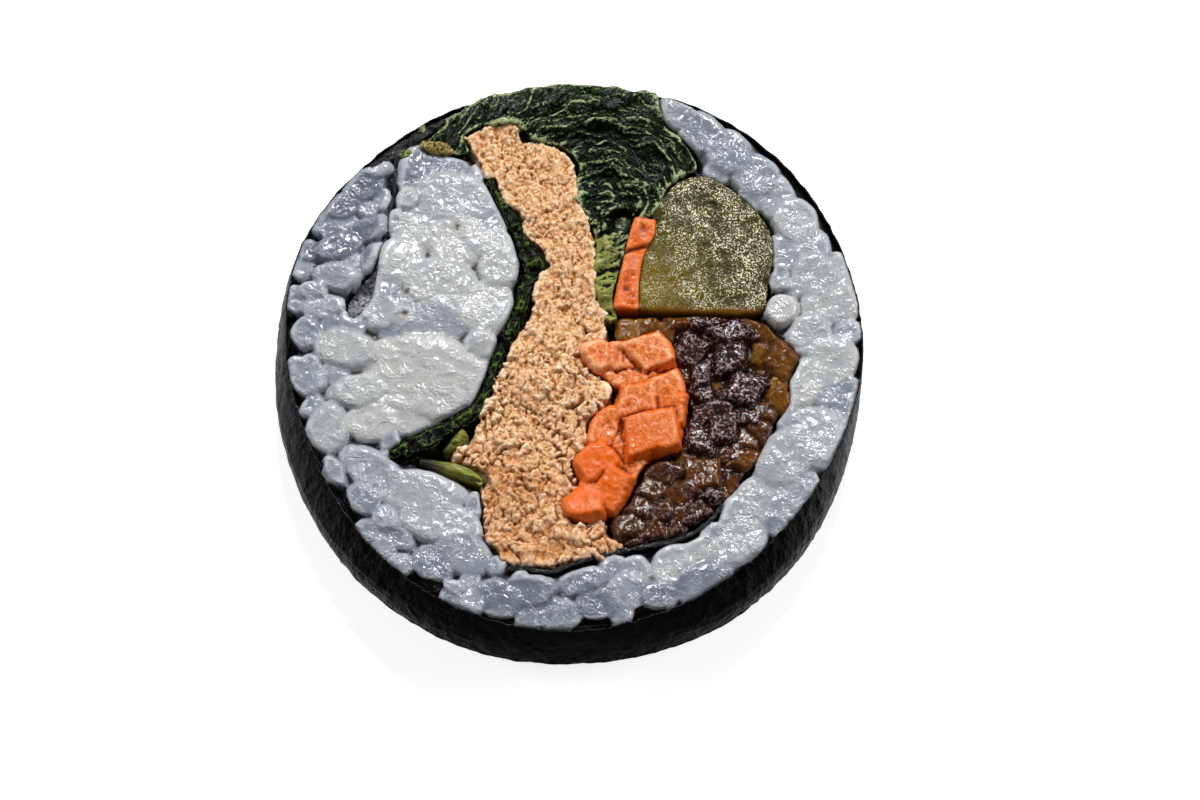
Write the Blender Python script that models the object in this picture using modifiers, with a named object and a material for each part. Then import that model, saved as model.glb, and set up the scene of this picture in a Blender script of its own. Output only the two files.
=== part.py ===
"""A thick slice of a seaweed-wrapped rice roll, lying on one cut face.

The fillings run through the slice: flaked tuna in mayonnaise, blanched spinach, a pickle strip,
carrot, braised burdock and a perilla leaf, with rice and a sheet of seaweed around them.
Lengths are in millimetres until the last step, which turns them into metres.
"""

import math
import random

import bmesh
import bpy
from mathutils import Euler, Matrix, Vector

# Driving dimensions of the slice, in millimetres
SLICE_HEIGHT = 9.3
RIM_RADII = (25.1, 25.5, 26.0, 26.2, 26.0, 26.1, 26.3, 26.6, 25.4, 24.5, 24.8, 25.2, 25.1, 24.4, 23.8, 24.2)
SHEET = 0.4
GAP = 0.3
RIM_SIDES = 60
WALL_LEVELS = 3
SHEET_LIFT = 0.5

# How far the soft side stands out below the cut face all round, and how much more or less at some angles:
# the angle, how far round it reaches, both in degrees, and by how much
WALL_SPREAD = 0.6
SPREAD_CHANGES = ((0, 18, -0.5), (205, 32, 1.6), (270, 15, -0.35), (313, 24, 1.1))
WIDEST_HEIGHT = 0.35
FOOT_PULL_IN = 0.25

RIM_DIP = 1.3
RIM_DIP_ANGLES = (74, 111)

# Heights of the cut face above the resting face, before the relief
RICE_CORE = 8.6
TUNA_CORE = 8.7
SPINACH_CORE = 8.9
CARROT_CORE = 8.8
BURDOCK_CORE = 8.3
PICKLE_TOP = 9.2
STICK_TOP = 9.5
LEAF_TOP = 9.0
STEM_TOP = 9.5
LINER_TOP = 8.8

# Relief pieces: length, width and height of one, and the least distance between two
GRAIN = (6.8, 3.5, 3.0)
GRAIN_SPACING = 2.9
FLAKE = (2.9, 2.2, 1.9)
FLAKE_SPACING = 2.1
FOLD = (5.2, 1.6, 2.0)
FOLD_SPACING = 1.9
CARROT_CHUNK = (3.6, 3.0, 2.6)
CARROT_SPACING = 2.6
BURDOCK_CHUNK = (3.0, 2.4, 2.4)
BURDOCK_SPACING = 2.5
LENGTHS = (1.0, 0.78, 0.56)
TRIES = 4000
SINK = 0.2
OVERHANG = (3.4, 1.9, 1.5)
OVERHANG_ANGLES = (80, 87, 94, 101)

# Where the rice between the fold and the leaf swells up: centre, reach and height
SWELL = ((-12.5, 4.0), 11.0, 0.7)

CUTTER_REACH = 3.0
STEP = 1.0
SHARP_ANGLE = math.radians(40)

# Outlines on the cut face: X to the right and Y away from the viewer, with the roll's axis at 0, 0
TUNA = (
    (-10.0, 21.0), (-8.0, 21.9), (-5.3, 22.2), (-4.9, 20.5), (-2.0, 19.9), (-0.2, 18.4), (-0.1, 15.5),
    (1.0, 12.6), (1.5, 10.5), (1.4, 8.0), (1.6, 5.4), (2.7, 2.8), (2.2, 1.0), (2.0, -2.0), (3.0, -4.5),
    (2.0, -8.0), (1.0, -11.0), (1.5, -14.0), (3.7, -16.0), (3.6, -17.3), (1.3, -18.2), (-1.5, -19.4),
    (-5.0, -19.3), (-6.4, -18.4), (-7.7, -15.8), (-8.3, -12.4), (-8.0, -10.6), (-10.6, -9.4), (-9.2, -7.2),
    (-7.7, -4.7), (-7.2, -2.6), (-6.2, 0.0), (-4.6, 2.8), (-3.9, 5.0), (-3.4, 6.8), (-2.4, 8.4),
    (-3.7, 10.5), (-4.3, 12.1), (-5.7, 13.8), (-6.8, 15.8), (-8.5, 18.1), (-9.4, 19.8),
)
SPINACH_INNER = (
    (-13.6, 19.8), (-10.8, 19.3), (-8.0, 19.8), (-4.0, 18.5), (-1.5, 16.5), (-0.5, 13.5), (0.3, 11.5),
    (0.4, 8.0), (0.6, 5.0), (2.0, 3.0), (3.5, 3.2), (3.1, 4.8), (3.5, 7.3), (3.8, 9.2), (4.5, 11.2),
    (5.6, 13.2), (6.7, 14.0), (7.7, 15.6), (8.8, 17.2), (10.6, 17.7), (10.0, 19.6), (8.2, 21.5), (7.3, 23.0),
)
SPINACH_RIM_ANGLES = (74, 123)
PICKLE = (
    (5.4, 4.5), (5.2, 6.0), (5.5, 9.0), (6.3, 11.8), (7.3, 14.5), (9.0, 16.4), (11.2, 17.0),
    (13.2, 16.0), (15.4, 14.0), (16.8, 12.0), (17.1, 9.8), (16.6, 7.0), (15.9, 4.3), (10.7, 4.2),
)
CARROTS = (
    (0.8, 1.0), (3.0, 1.3), (5.0, 1.4), (6.3, 2.1), (8.2, 1.3), (8.3, -0.6), (8.9, -2.2), (9.7, -4.9),
    (9.3, -6.9), (8.3, -9.0), (6.0, -9.8), (5.2, -11.5), (4.2, -13.6), (2.3, -15.0), (-0.1, -14.9),
    (-1.1, -13.6), (0.5, -12.2), (-0.2, -9.9), (1.0, -8.0), (1.4, -6.0), (3.5, -4.2), (3.2, -2.4), (0.9, -0.6),
)
BURDOCK = (
    (3.3, 3.3), (5.5, 3.7), (10.7, 3.7), (15.8, 3.6), (17.0, 2.4), (18.8, 0.8), (19.3, -0.5), (18.4, -2.2),
    (18.4, -4.2), (17.0, -6.2), (15.7, -9.0), (14.4, -11.0), (12.2, -13.7), (9.3, -15.9), (5.6, -17.1),
    (3.9, -17.0), (2.8, -15.4), (4.0, -12.0), (7.0, -8.0), (8.0, -4.0), (7.0, 0.0), (3.6, 1.2),
)

# Strips that run along a line: the line's points, each with the strip's width there
CARROT_STICK = ((6.0, 12.9, 1.7), (5.8, 11.8, 1.9), (5.2, 10.3, 1.5), (4.8, 8.6, 1.4), (4.4, 6.3, 1.7), (4.3, 4.6, 2.0))
PERILLA = (
    (-8.0, 17.0, 0.5), (-6.9, 15.0, 0.7), (-5.4, 12.3, 1.1), (-4.6, 10.2, 1.4), (-3.7, 8.6, 2.0), (-4.4, 7.0, 1.2),
    (-5.0, 4.6, 1.0), (-5.9, 2.4, 1.0), (-6.9, 0.0, 0.9), (-7.7, -2.4, 0.8), (-8.7, -4.7, 1.0), (-10.0, -5.8, 1.0),
    (-11.4, -6.7, 1.2), (-13.0, -7.6, 1.7), (-14.7, -8.4, 1.4), (-16.2, -8.9, 0.5),
)
UPPER_STEM = ((-11.5, -8.8, 0.8), (-10.7, -8.1, 0.9), (-9.7, -7.1, 0.9))
LOWER_STEM = ((-13.6, -9.5, 0.4), (-12.2, -10.0, 0.8), (-10.6, -10.5, 1.0), (-9.2, -11.0, 0.9), (-8.2, -11.5, 0.5))
SHEET_FOLD = (
    (-15.9, 19.2, 0.6), (-16.1, 17.2, 0.3), (-16.2, 15.2, 0.3), (-16.7, 13.2, 0.3), (-16.7, 11.8, 0.3),
    (-17.3, 10.2, 0.3), (-17.6, 8.8, 0.4), (-18.1, 7.2, 0.8), (-18.8, 6.0, 1.6), (-19.4, 4.8, 1.5), (-19.8, 3.7, 0.5),
)
SHEET_LAP_ANGLES = (118, 137)
SHEET_LAP_DEPTH = 0.7
SHEET_LINER = (
    (-6.0, -19.4, 0.4), (-4.4, -19.4, 0.4), (-2.6, -19.8, 0.4), (-0.8, -19.2, 0.4), (1.2, -18.5, 0.4),
    (3.7, -17.8, 0.4), (6.0, -17.4, 0.4), (8.5, -16.8, 0.4), (10.2, -16.1, 0.4), (11.7, -14.9, 0.4), (12.6, -13.5, 0.4),
)

# Colours, roughness
SEAWEED_LOOK = ((0.012, 0.013, 0.012), 0.45)
RICE_LOOK = ((0.60, 0.62, 0.64), 0.3)
TUNA_LOOK = ((0.62, 0.33, 0.14), 0.5)
SPINACH_LOOK = ((0.02, 0.05, 0.01), 0.35)
PICKLE_LOOK = ((0.16, 0.13, 0.03), 0.3)
CARROT_LOOK = ((0.75, 0.18, 0.03), 0.35)
BURDOCK_LOOK = ((0.045, 0.015, 0.008), 0.25)
PERILLA_LOOK = ((0.012, 0.03, 0.008), 0.4)
STEM_LOOK = ((0.14, 0.17, 0.015), 0.35)


def rim_radius(angle):
    """The radius of the sheet's outer side on the cut face, eased between the measured radii."""
    place = (angle / math.tau) % 1.0 * len(RIM_RADII)
    first = int(place)
    share = place - first
    r0, r1, r2, r3 = (RIM_RADII[(first + k) % len(RIM_RADII)] for k in (-1, 0, 1, 2))
    slope1, slope2 = (r2 - r0) / 2, (r3 - r1) / 2
    a = 2 * r1 - 2 * r2 + slope1 + slope2
    b = -3 * r1 + 3 * r2 - 2 * slope1 - slope2
    return ((a * share + b) * share + slope1) * share + r1


def rim_point(degrees, inset):
    angle = math.radians(degrees)
    radius = rim_radius(angle) - inset
    return Vector((radius * math.cos(angle), radius * math.sin(angle)))


def stand_out(angle, z):
    """How far the wrapped side stands out past the cut face's rim, where the soft slice has settled."""
    spread = WALL_SPREAD
    for degrees, reach, change in SPREAD_CHANGES:
        apart = (math.degrees(angle) - degrees + 180) % 360 - 180
        spread += change * math.exp(-((apart / reach) ** 2))
    share = min(max(z / SLICE_HEIGHT, 0.0), 1.0)
    above = math.sin(math.pi / 2 * min((1 - share) / (1 - WIDEST_HEIGHT), 1.0))
    below = 1 - FOOT_PULL_IN * max((WIDEST_HEIGHT - share) / WIDEST_HEIGHT, 0.0) ** 2
    return spread * above * below


def smooth_line(points, closed):
    """A smooth line through the points, as a list with a point about every STEP. Points may carry a width."""
    points = [Vector(p) for p in points]
    count = len(points)
    spans = count if closed else count - 1
    line = []
    for i in range(spans):
        if closed:
            p0, p1, p2, p3 = (points[(i + k) % count] for k in (-1, 0, 1, 2))
        else:
            p0, p1, p2, p3 = (points[min(max(i + k, 0), count - 1)] for k in (-1, 0, 1, 2))
        steps = max(1, round((p2 - p1).length / STEP))
        for s in range(steps):
            t = s / steps
            line.append(
                0.5 * (2 * p1 + (p2 - p0) * t + (2 * p0 - 5 * p1 + 4 * p2 - p3) * t**2 + (3 * p1 - p0 - 3 * p2 + p3) * t**3)
            )
    if not closed:
        line.append(points[-1])
    return line


def signed_area(loop):
    return sum(a.x * b.y - b.x * a.y for a, b in zip(loop, loop[1:] + loop[:1])) / 2


def counterclockwise(loop):
    return loop if signed_area(loop) > 0 else loop[::-1]


def blob(points):
    return counterclockwise(smooth_line(points, closed=True))


def strip(points):
    """The outline of a strip whose centre line and widths are given."""
    line = smooth_line(points, closed=False)
    left, right = [], []
    for i, point in enumerate(line):
        ahead, behind = line[min(i + 1, len(line) - 1)], line[max(i - 1, 0)]
        along = Vector((ahead.x - behind.x, ahead.y - behind.y)).normalized()
        side = Vector((-along.y, along.x)) * point.z / 2
        centre = Vector((point.x, point.y))
        left.append(centre + side)
        right.append(centre - side)
    return counterclockwise(left + right[::-1])


def spinach_outline():
    start, end = SPINACH_RIM_ANGLES
    arc = [rim_point(a, SHEET + GAP) for a in range(start, end + 1, 2)]
    inner = smooth_line(SPINACH_INNER, closed=False)
    return counterclockwise([Vector((p.x, p.y)) for p in inner] + arc)


def lap_outline():
    """The crescent where the end of the sheet lies doubled against its own inner side."""
    start, end = SHEET_LAP_ANGLES
    angles = range(start, end + 1, 2)
    outer = [rim_point(a, SHEET + GAP) for a in angles]
    inner = []
    for a in angles:
        share = (a - start) / (end - start)
        inner.append(rim_point(a, SHEET + GAP + 0.15 + SHEET_LAP_DEPTH * math.sin(math.pi * share)))
    return counterclockwise(outer + inner[::-1])


def distance_to(point, loop):
    best = 1e9
    for a, b in zip(loop, loop[1:] + loop[:1]):
        along = b - a
        share = min(max((point - a).dot(along) / max(along.length_squared, 1e-12), 0.0), 1.0)
        best = min(best, (point - a - along * share).length)
    return best


def inside(point, loop):
    found = False
    for a, b in zip(loop, loop[1:] + loop[:1]):
        if (a.y > point.y) != (b.y > point.y):
            if point.x < a.x + (point.y - a.y) * (b.x - a.x) / (b.y - a.y):
                found = not found
    return found


def grown(loop, by):
    """The outline moved outwards, without the small loops that this makes in a notch."""
    moved = []
    count = len(loop)
    for i, point in enumerate(loop):
        along = (loop[(i + 1) % count] - loop[i - 1]).normalized()
        out = point + Vector((along.y, -along.x)) * by
        if distance_to(out, loop) > 0.9 * by:
            moved.append(out)
    return moved


def material(name, look):
    colour, roughness = look
    made = bpy.data.materials.new(name)
    made.use_nodes = True
    shader = made.node_tree.nodes["Principled BSDF"]
    shader.inputs["Base Color"].default_value = (*colour, 1.0)
    shader.inputs["Roughness"].default_value = roughness
    shader.inputs["Metallic"].default_value = 0.0
    return made


def add_object(name, mesh, collection):
    obj = bpy.data.objects.new(name, mesh)
    collection.objects.link(obj)
    return obj


def prism(name, loop, low, high, collection):
    """A closed solid with the outline's shape, from a filled flat curve."""
    curve = bpy.data.curves.new(name, "CURVE")
    curve.dimensions = "2D"
    curve.fill_mode = "BOTH"
    curve.extrude = (high - low) / 2
    spline = curve.splines.new("POLY")
    spline.points.add(len(loop) - 1)
    for knot, point in zip(spline.points, loop):
        knot.co = (point.x, point.y, 0.0, 1.0)
    spline.use_cyclic_u = True
    flat = add_object(name + "_outline", curve, collection)
    flat.location.z = (high + low) / 2
    bpy.context.view_layer.update()
    mesh = bpy.data.meshes.new_from_object(flat.evaluated_get(bpy.context.evaluated_depsgraph_get()))
    mesh.transform(flat.matrix_world)
    bpy.data.objects.remove(flat)
    tidy(mesh)
    mesh.name = name
    return add_object(name, mesh, collection)


def tidy(mesh):
    shape = bmesh.new()
    shape.from_mesh(mesh)
    bmesh.ops.remove_doubles(shape, verts=shape.verts, dist=1e-3)
    bmesh.ops.recalc_face_normals(shape, faces=shape.faces)
    shape.to_mesh(mesh)
    shape.free()


def keep_largest(obj):
    """Drops loose scraps that a cut leaves beside the piece."""
    shape = bmesh.new()
    shape.from_mesh(obj.data)
    left = set(shape.verts)
    islands = []
    while left:
        stack = [left.pop()]
        island = set(stack)
        while stack:
            for edge in stack.pop().link_edges:
                for vert in edge.verts:
                    if vert in left:
                        left.remove(vert)
                        island.add(vert)
                        stack.append(vert)
        islands.append(island)
    islands.sort(key=len)
    for island in islands[:-1]:
        bmesh.ops.delete(shape, geom=list(island), context="VERTS")
    shape.to_mesh(obj.data)
    shape.free()


def combine(obj, operation, tools):
    """Applies one Boolean with all the tools to the object, and removes the tools."""
    modifier = obj.modifiers.new(operation.title(), "BOOLEAN")
    modifier.operation = operation
    modifier.operand_type = "COLLECTION"
    modifier.collection = tools
    modifier.solver = "EXACT"
    bpy.context.view_layer.update()
    mesh = bpy.data.meshes.new_from_object(obj.evaluated_get(bpy.context.evaluated_depsgraph_get()))
    obj.modifiers.remove(modifier)
    old = obj.data
    obj.data = mesh
    bpy.data.meshes.remove(old)
    for tool in list(tools.objects):
        bpy.data.objects.remove(tool)


def cut_to_fit(obj, neighbours, tools):
    """Cuts the piece back to leave the gap round each neighbour that lies against it."""
    for i, loop in enumerate(neighbours):
        prism(f"cutter_{i}", grown(loop, GAP), -CUTTER_REACH, SLICE_HEIGHT + CUTTER_REACH, tools)
    combine(obj, "DIFFERENCE", tools)
    keep_largest(obj)


def rounded_lump(name, size, place, turn, tools):
    """A few-sided egg shape."""
    shape = bmesh.new()
    bmesh.ops.create_uvsphere(shape, u_segments=6, v_segments=4, radius=0.5)
    fit_lump(shape, size, place, turn)
    mesh = bpy.data.meshes.new(name)
    shape.to_mesh(mesh)
    shape.free()
    return add_object(name, mesh, tools)


def cut_chunk(name, size, place, turn, tools):
    """A block with its edges taken off."""
    shape = bmesh.new()
    bmesh.ops.create_cube(shape, size=1.0)
    bmesh.ops.bevel(
        shape, geom=shape.edges, offset=0.22, offset_type="OFFSET", segments=1, profile=0.5, affect="EDGES", material=-1
    )
    fit_lump(shape, size, place, turn)
    mesh = bpy.data.meshes.new(name)
    shape.to_mesh(mesh)
    shape.free()
    return add_object(name, mesh, tools)


def fit_lump(shape, size, place, turn):
    matrix = Matrix.Translation(place) @ turn.to_matrix().to_4x4() @ Matrix.Diagonal((*size, 1.0))
    bmesh.ops.transform(shape, matrix=matrix, verts=shape.verts)


def footprint(place, size, heading, sides=10):
    """Points over a piece that lies on the cut face, close enough together to find a thin strip."""
    along = Vector((math.cos(heading), math.sin(heading)))
    across = Vector((-along.y, along.x))
    for share in (1.0, 0.75, 0.5, 0.25):
        for i in range(sides):
            angle = math.tau * (i + share) / sides
            yield place + (along * math.cos(angle) * size[0] + across * math.sin(angle) * size[1]) * share / 2


def scatter(loop, spacing, size, fits, heading, draw):
    """Places, headings and sizes for relief pieces inside an outline, the longest first, none too near another."""
    kept = []
    low = [min(p[k] for p in loop) for k in range(2)]
    high = [max(p[k] for p in loop) for k in range(2)]
    for length in LENGTHS:
        for _ in range(TRIES):
            place = Vector((draw.uniform(low[0], high[0]), draw.uniform(low[1], high[1])))
            if any((place - other[0]).length < spacing for other in kept):
                continue
            angle = heading(place, draw)
            scale = draw.uniform(0.88, 1.1)
            piece_size = (size[0] * scale * length, size[1] * scale, size[2] * scale)
            if fits(place) and all(fits(point) for point in footprint(place, piece_size, angle)):
                kept.append((place, angle, piece_size))
    return kept


def around_axis(place, draw):
    """Mostly along the rim, as rice settles when the roll is turned."""
    return math.atan2(place.y, place.x) + math.pi / 2 + draw.gauss(0.0, 0.6)


def any_way(place, draw):
    return draw.uniform(0.0, math.pi)


def swell(place):
    centre, reach, height = SWELL
    share = min((place - Vector(centre)).length / reach, 1.0)
    return height * (1.0 - share**2)


def add_relief(obj, make, pieces, core, draw, tools):
    """Fuses relief pieces to the cut face of a core, each sunk to a little below its middle."""
    for i, (place, angle, size) in enumerate(pieces):
        height = core + draw.uniform(-0.1, 0.5) - SINK * size[2]
        if obj.name == "rice":
            height += swell(place)
        turn = Euler((draw.uniform(-0.25, 0.25), draw.uniform(-0.2, 0.2), angle), "XYZ")
        make(f"piece_{i}", size, Vector((place.x, place.y, height)), turn, tools)
    combine(obj, "UNION", tools)
    keep_largest(obj)


def dip(angle):
    """How far the sheet's top edge is pushed down where the spinach hangs over it."""
    start, end = RIM_DIP_ANGLES
    share = (math.degrees(angle) - start) / (end - start)
    return RIM_DIP * math.sin(math.pi * min(max(share, 0.0), 1.0)) ** 0.5


def barrel(name, inset, low, high, capped, collection):
    """The roll's round form between two heights: a cylinder's rings moved out to the rim and past it."""
    shape = bmesh.new()
    bmesh.ops.create_cone(
        shape, cap_ends=capped, segments=RIM_SIDES, radius1=1.0, radius2=1.0, depth=high - low
    )
    upright = [e for e in shape.edges if abs(e.verts[0].co.z - e.verts[1].co.z) > 0.5 * (high - low)]
    bmesh.ops.subdivide_edges(shape, edges=upright, cuts=WALL_LEVELS)
    for vert in shape.verts:
        angle = math.atan2(vert.co.y, vert.co.x)
        z = vert.co.z + (high + low) / 2
        if not capped:
            z -= dip(angle) * (z - low) / (high - low)
        radius = rim_radius(angle) - inset + stand_out(angle, z)
        vert.co = (radius * math.cos(angle), radius * math.sin(angle), z)
    mesh = bpy.data.meshes.new(name)
    shape.to_mesh(mesh)
    shape.free()
    return add_object(name, mesh, collection)


def make_wrap(collection):
    wrap = barrel("nori_wrap", 0.0, SHEET_LIFT, SLICE_HEIGHT, False, collection)
    wall = wrap.modifiers.new("Wall", "SOLIDIFY")
    wall.thickness = SHEET
    wall.offset = -1.0
    return wrap


def clear_of(loop, neighbours):
    """A test for points inside an outline and clear of its neighbours."""
    wide = [grown(other, GAP + 0.05) for other in neighbours]

    def fits(point):
        return inside(point, loop) and not any(inside(point, other) for other in wide)

    return fits


def make_rice(outlines, collection, tools):
    rice = barrel("rice", SHEET + GAP, 0.0, RICE_CORE, True, collection)
    cut_to_fit(rice, outlines, tools)
    edge = [rim_point(a, SHEET + GAP + 0.1) for a in range(0, 360, 5)]
    draw = random.Random(7)
    grains = scatter(edge, GRAIN_SPACING, GRAIN, clear_of(edge, outlines), around_axis, draw)
    add_relief(rice, rounded_lump, grains, RICE_CORE, draw, tools)
    return rice


def make_filling(name, loop, core, neighbours, relief, collection, tools):
    """A filling cut back from its neighbours, with its own relief on the cut face."""
    filling = prism(name, loop, 0.0, core, collection)
    if neighbours:
        cut_to_fit(filling, neighbours, tools)
    if relief:
        make, spacing, size, heading, seed = relief
        draw = random.Random(seed)
        pieces = scatter(loop, spacing, size, clear_of(loop, neighbours), heading, draw)
        add_relief(filling, make, pieces, core, draw, tools)
    return filling


def hang_over(spinach, tools):
    """Leaves that hang over the sheet's edge, in a row along the rim."""
    draw = random.Random(2)
    for i, degrees in enumerate(OVERHANG_ANGLES):
        place = rim_point(degrees, OVERHANG[1] / 2)
        turn = Euler((0.0, 0.0, math.radians(degrees + 90) + draw.uniform(-0.15, 0.15)), "XYZ")
        height = SLICE_HEIGHT + draw.uniform(-0.1, 0.3)
        rounded_lump(f"overhang_{i}", OVERHANG, Vector((place.x, place.y, height)), turn, tools)
    combine(spinach, "UNION", tools)


def make_sheet_end(lap, fold, collection, tools):
    """The sheet's inner end: doubled at the lap, then running down between two layers of rice."""
    end = prism("nori_inner_end", lap, 0.0, SLICE_HEIGHT - 0.2, collection)
    prism("fold", fold, 0.0, SLICE_HEIGHT - 0.2, tools)
    combine(end, "UNION", tools)
    return end


def centre_and_scale(objects):
    """Centres the slice's box on the axis and turns millimetres into metres."""
    bpy.context.view_layer.update()
    corners = [Vector(corner) for obj in objects for corner in obj.bound_box]
    middle = Vector(
        [(max(c[k] for c in corners) + min(c[k] for c in corners)) / 2 for k in range(2)] + [min(c.z for c in corners)]
    )
    for obj in objects:
        obj.data.transform(Matrix.Scale(0.001, 4) @ Matrix.Translation(-middle))
        for modifier in obj.modifiers:
            if modifier.type == "SOLIDIFY":
                modifier.thickness *= 0.001


def main():
    for obj in list(bpy.data.objects):
        bpy.data.objects.remove(obj)
    slice_parts = bpy.data.collections.new("kimbap_slice")
    tools = bpy.data.collections.new("cutters")
    for collection in (slice_parts, tools):
        bpy.context.scene.collection.children.link(collection)
    tools.hide_render = True

    stick, pickle = strip(CARROT_STICK), blob(PICKLE)
    carrots, burdock = blob(CARROTS), blob(BURDOCK)
    tuna, spinach = blob(TUNA), spinach_outline()
    perilla, liner = strip(PERILLA), strip(SHEET_LINER)
    upper_stem, lower_stem = strip(UPPER_STEM), strip(LOWER_STEM)
    lap, fold = lap_outline(), strip(SHEET_FOLD)
    everything = [stick, pickle, carrots, burdock, tuna, spinach, perilla, liner, upper_stem, lower_stem, lap, fold]

    flakes = (rounded_lump, FLAKE_SPACING, FLAKE, any_way, 11)
    folds = (rounded_lump, FOLD_SPACING, FOLD, around_axis, 5)
    carrot_cubes = (cut_chunk, CARROT_SPACING, CARROT_CHUNK, any_way, 3)
    burdock_cubes = (cut_chunk, BURDOCK_SPACING, BURDOCK_CHUNK, any_way, 9)
    thin = [perilla, upper_stem, lower_stem, liner]

    parts = {
        make_wrap(slice_parts): SEAWEED_LOOK,
        make_rice(everything, slice_parts, tools): RICE_LOOK,
        make_sheet_end(lap, fold, slice_parts, tools): SEAWEED_LOOK,
        make_filling("nori_liner", liner, LINER_TOP, [], None, slice_parts, tools): SEAWEED_LOOK,
        make_filling("perilla_leaf", perilla, LEAF_TOP, [], None, slice_parts, tools): PERILLA_LOOK,
        make_filling("stem_upper", upper_stem, STEM_TOP, [], None, slice_parts, tools): STEM_LOOK,
        make_filling("stem_lower", lower_stem, STEM_TOP, [], None, slice_parts, tools): STEM_LOOK,
        make_filling("carrot_stick", stick, STICK_TOP, [], None, slice_parts, tools): CARROT_LOOK,
        make_filling("pickle", pickle, PICKLE_TOP, [stick], None, slice_parts, tools): PICKLE_LOOK,
        make_filling("carrots", carrots, CARROT_CORE, [], carrot_cubes, slice_parts, tools): CARROT_LOOK,
        make_filling(
            "burdock", burdock, BURDOCK_CORE, [carrots, stick, pickle, liner], burdock_cubes, slice_parts, tools
        ): BURDOCK_LOOK,
        make_filling(
            "tuna_mayo", tuna, TUNA_CORE, [carrots, burdock, *thin], flakes, slice_parts, tools
        ): TUNA_LOOK,
        make_filling(
            "spinach", spinach, SPINACH_CORE, [stick, pickle, burdock, tuna, lap], folds, slice_parts, tools
        ): SPINACH_LOOK,
    }
    hang_over(bpy.data.objects["spinach"], tools)
    for part, look in parts.items():
        part.data.materials.clear()
        part.data.materials.append(material(part.name, look))
        part.data.shade_smooth()
        part.data.set_sharp_from_angle(angle=SHARP_ANGLE)
    centre_and_scale(list(parts))
    bpy.data.collections.remove(tools)


main()
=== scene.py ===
"""The looks of a slice of seaweed-wrapped rice roll, built over its solids.

Shapes are worked in millimetres from the roll's axis, X to the right and Y away from the camera, and
moved into the frame in metres when a piece is finished. A filling's upper layer starts as a flat slab
with its solid's own outline. Grains, crumbs, folds or cut cubes are then raised on it by moving its
points, and a plain part below closes the piece down to the resting face.
"""

import math

import bmesh
import bpy
import numpy as np
from mathutils import Euler, Matrix, Vector


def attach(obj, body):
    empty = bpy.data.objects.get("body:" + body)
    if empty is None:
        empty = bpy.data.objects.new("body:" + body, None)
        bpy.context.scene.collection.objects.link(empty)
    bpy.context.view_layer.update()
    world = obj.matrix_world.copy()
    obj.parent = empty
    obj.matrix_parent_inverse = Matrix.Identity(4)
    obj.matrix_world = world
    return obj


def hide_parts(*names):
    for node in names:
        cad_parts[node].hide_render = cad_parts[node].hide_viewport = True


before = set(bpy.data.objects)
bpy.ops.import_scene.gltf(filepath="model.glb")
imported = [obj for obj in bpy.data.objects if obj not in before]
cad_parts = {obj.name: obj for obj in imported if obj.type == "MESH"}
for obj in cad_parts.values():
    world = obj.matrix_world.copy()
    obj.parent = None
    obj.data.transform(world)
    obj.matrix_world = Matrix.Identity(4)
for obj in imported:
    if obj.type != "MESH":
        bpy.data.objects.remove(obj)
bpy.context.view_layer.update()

# Where the roll's axis stands in the frame
AXIS = (0.80, -0.59)
# Heights of the cut face, of the level cuts that give outlines, and of the foot of a filling's upper layer
FACE_HEIGHT = 9.3
SECTION_HEIGHT, MIDDLE_HEIGHT = 8.2, 4.0
LAYER_LOW = 7.2
# Bumps level out from the first height on, and none passes the second
LEVELLING, CEILING = 10.15, 10.58
# A height below every solid
BELOW = -1.0
# How far a piece grows past its solid to meet the next one. Low down, where it can't be seen from the side,
# a filling may grow by more, and this fades out between two heights
TOUCH, CLOSING = 0.15, 1.6
HIDDEN = (5.0, 6.5)
# The outer sheet: how thick it is, where its lower and upper edges lie, and how finely it is divided
SHEET = 0.12
SHEET_FOOT, SHEET_TOP = 0.12, FACE_HEIGHT - 0.4
SHEET_SIDES, SHEET_RINGS = 960, 44
# Its upper edge is pushed down where the spinach hangs over it: from which degree, over how many, how far
RIM_DIP = (71, 42, 1.2)


# Outlines on the cut face


def solid(node):
    """A merged copy of a node's solid, in millimetres from the roll's axis."""
    shape = bmesh.new()
    shape.from_mesh(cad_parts[node].data)
    bmesh.ops.scale(shape, vec=(1000, 1000, 1000), verts=shape.verts)
    bmesh.ops.translate(shape, vec=(-AXIS[0], -AXIS[1], 0), verts=shape.verts)
    bmesh.ops.remove_doubles(shape, verts=shape.verts, dist=0.002)
    return shape


def outline(node, height=SECTION_HEIGHT):
    """The edges of a level cut through a solid, as an array of point pairs."""
    shape = solid(node)
    everything = shape.verts[:] + shape.edges[:] + shape.faces[:]
    cut = bmesh.ops.bisect_plane(shape, geom=everything, plane_co=(0, 0, height), plane_no=(0, 0, 1))
    edges = [part for part in cut["geom_cut"] if isinstance(part, bmesh.types.BMEdge)]
    lines = np.array([[vert.co[:2] for vert in edge.verts] for edge in edges]).reshape(-1, 2, 2)
    shape.free()
    return lines


def inside(points, lines):
    """Which points lie within an outline, or within the material where outlines nest."""
    x, y = points[:, :1], points[:, 1:2]
    (ax, ay), (bx, by) = lines[:, 0].T, lines[:, 1].T
    level = np.where(ay == by, 1e-9, by - ay)
    crossed = ((ay > y) != (by > y)) & (x < ax + (y - ay) * (bx - ax) / level)
    return crossed.sum(axis=1) % 2 == 1


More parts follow.
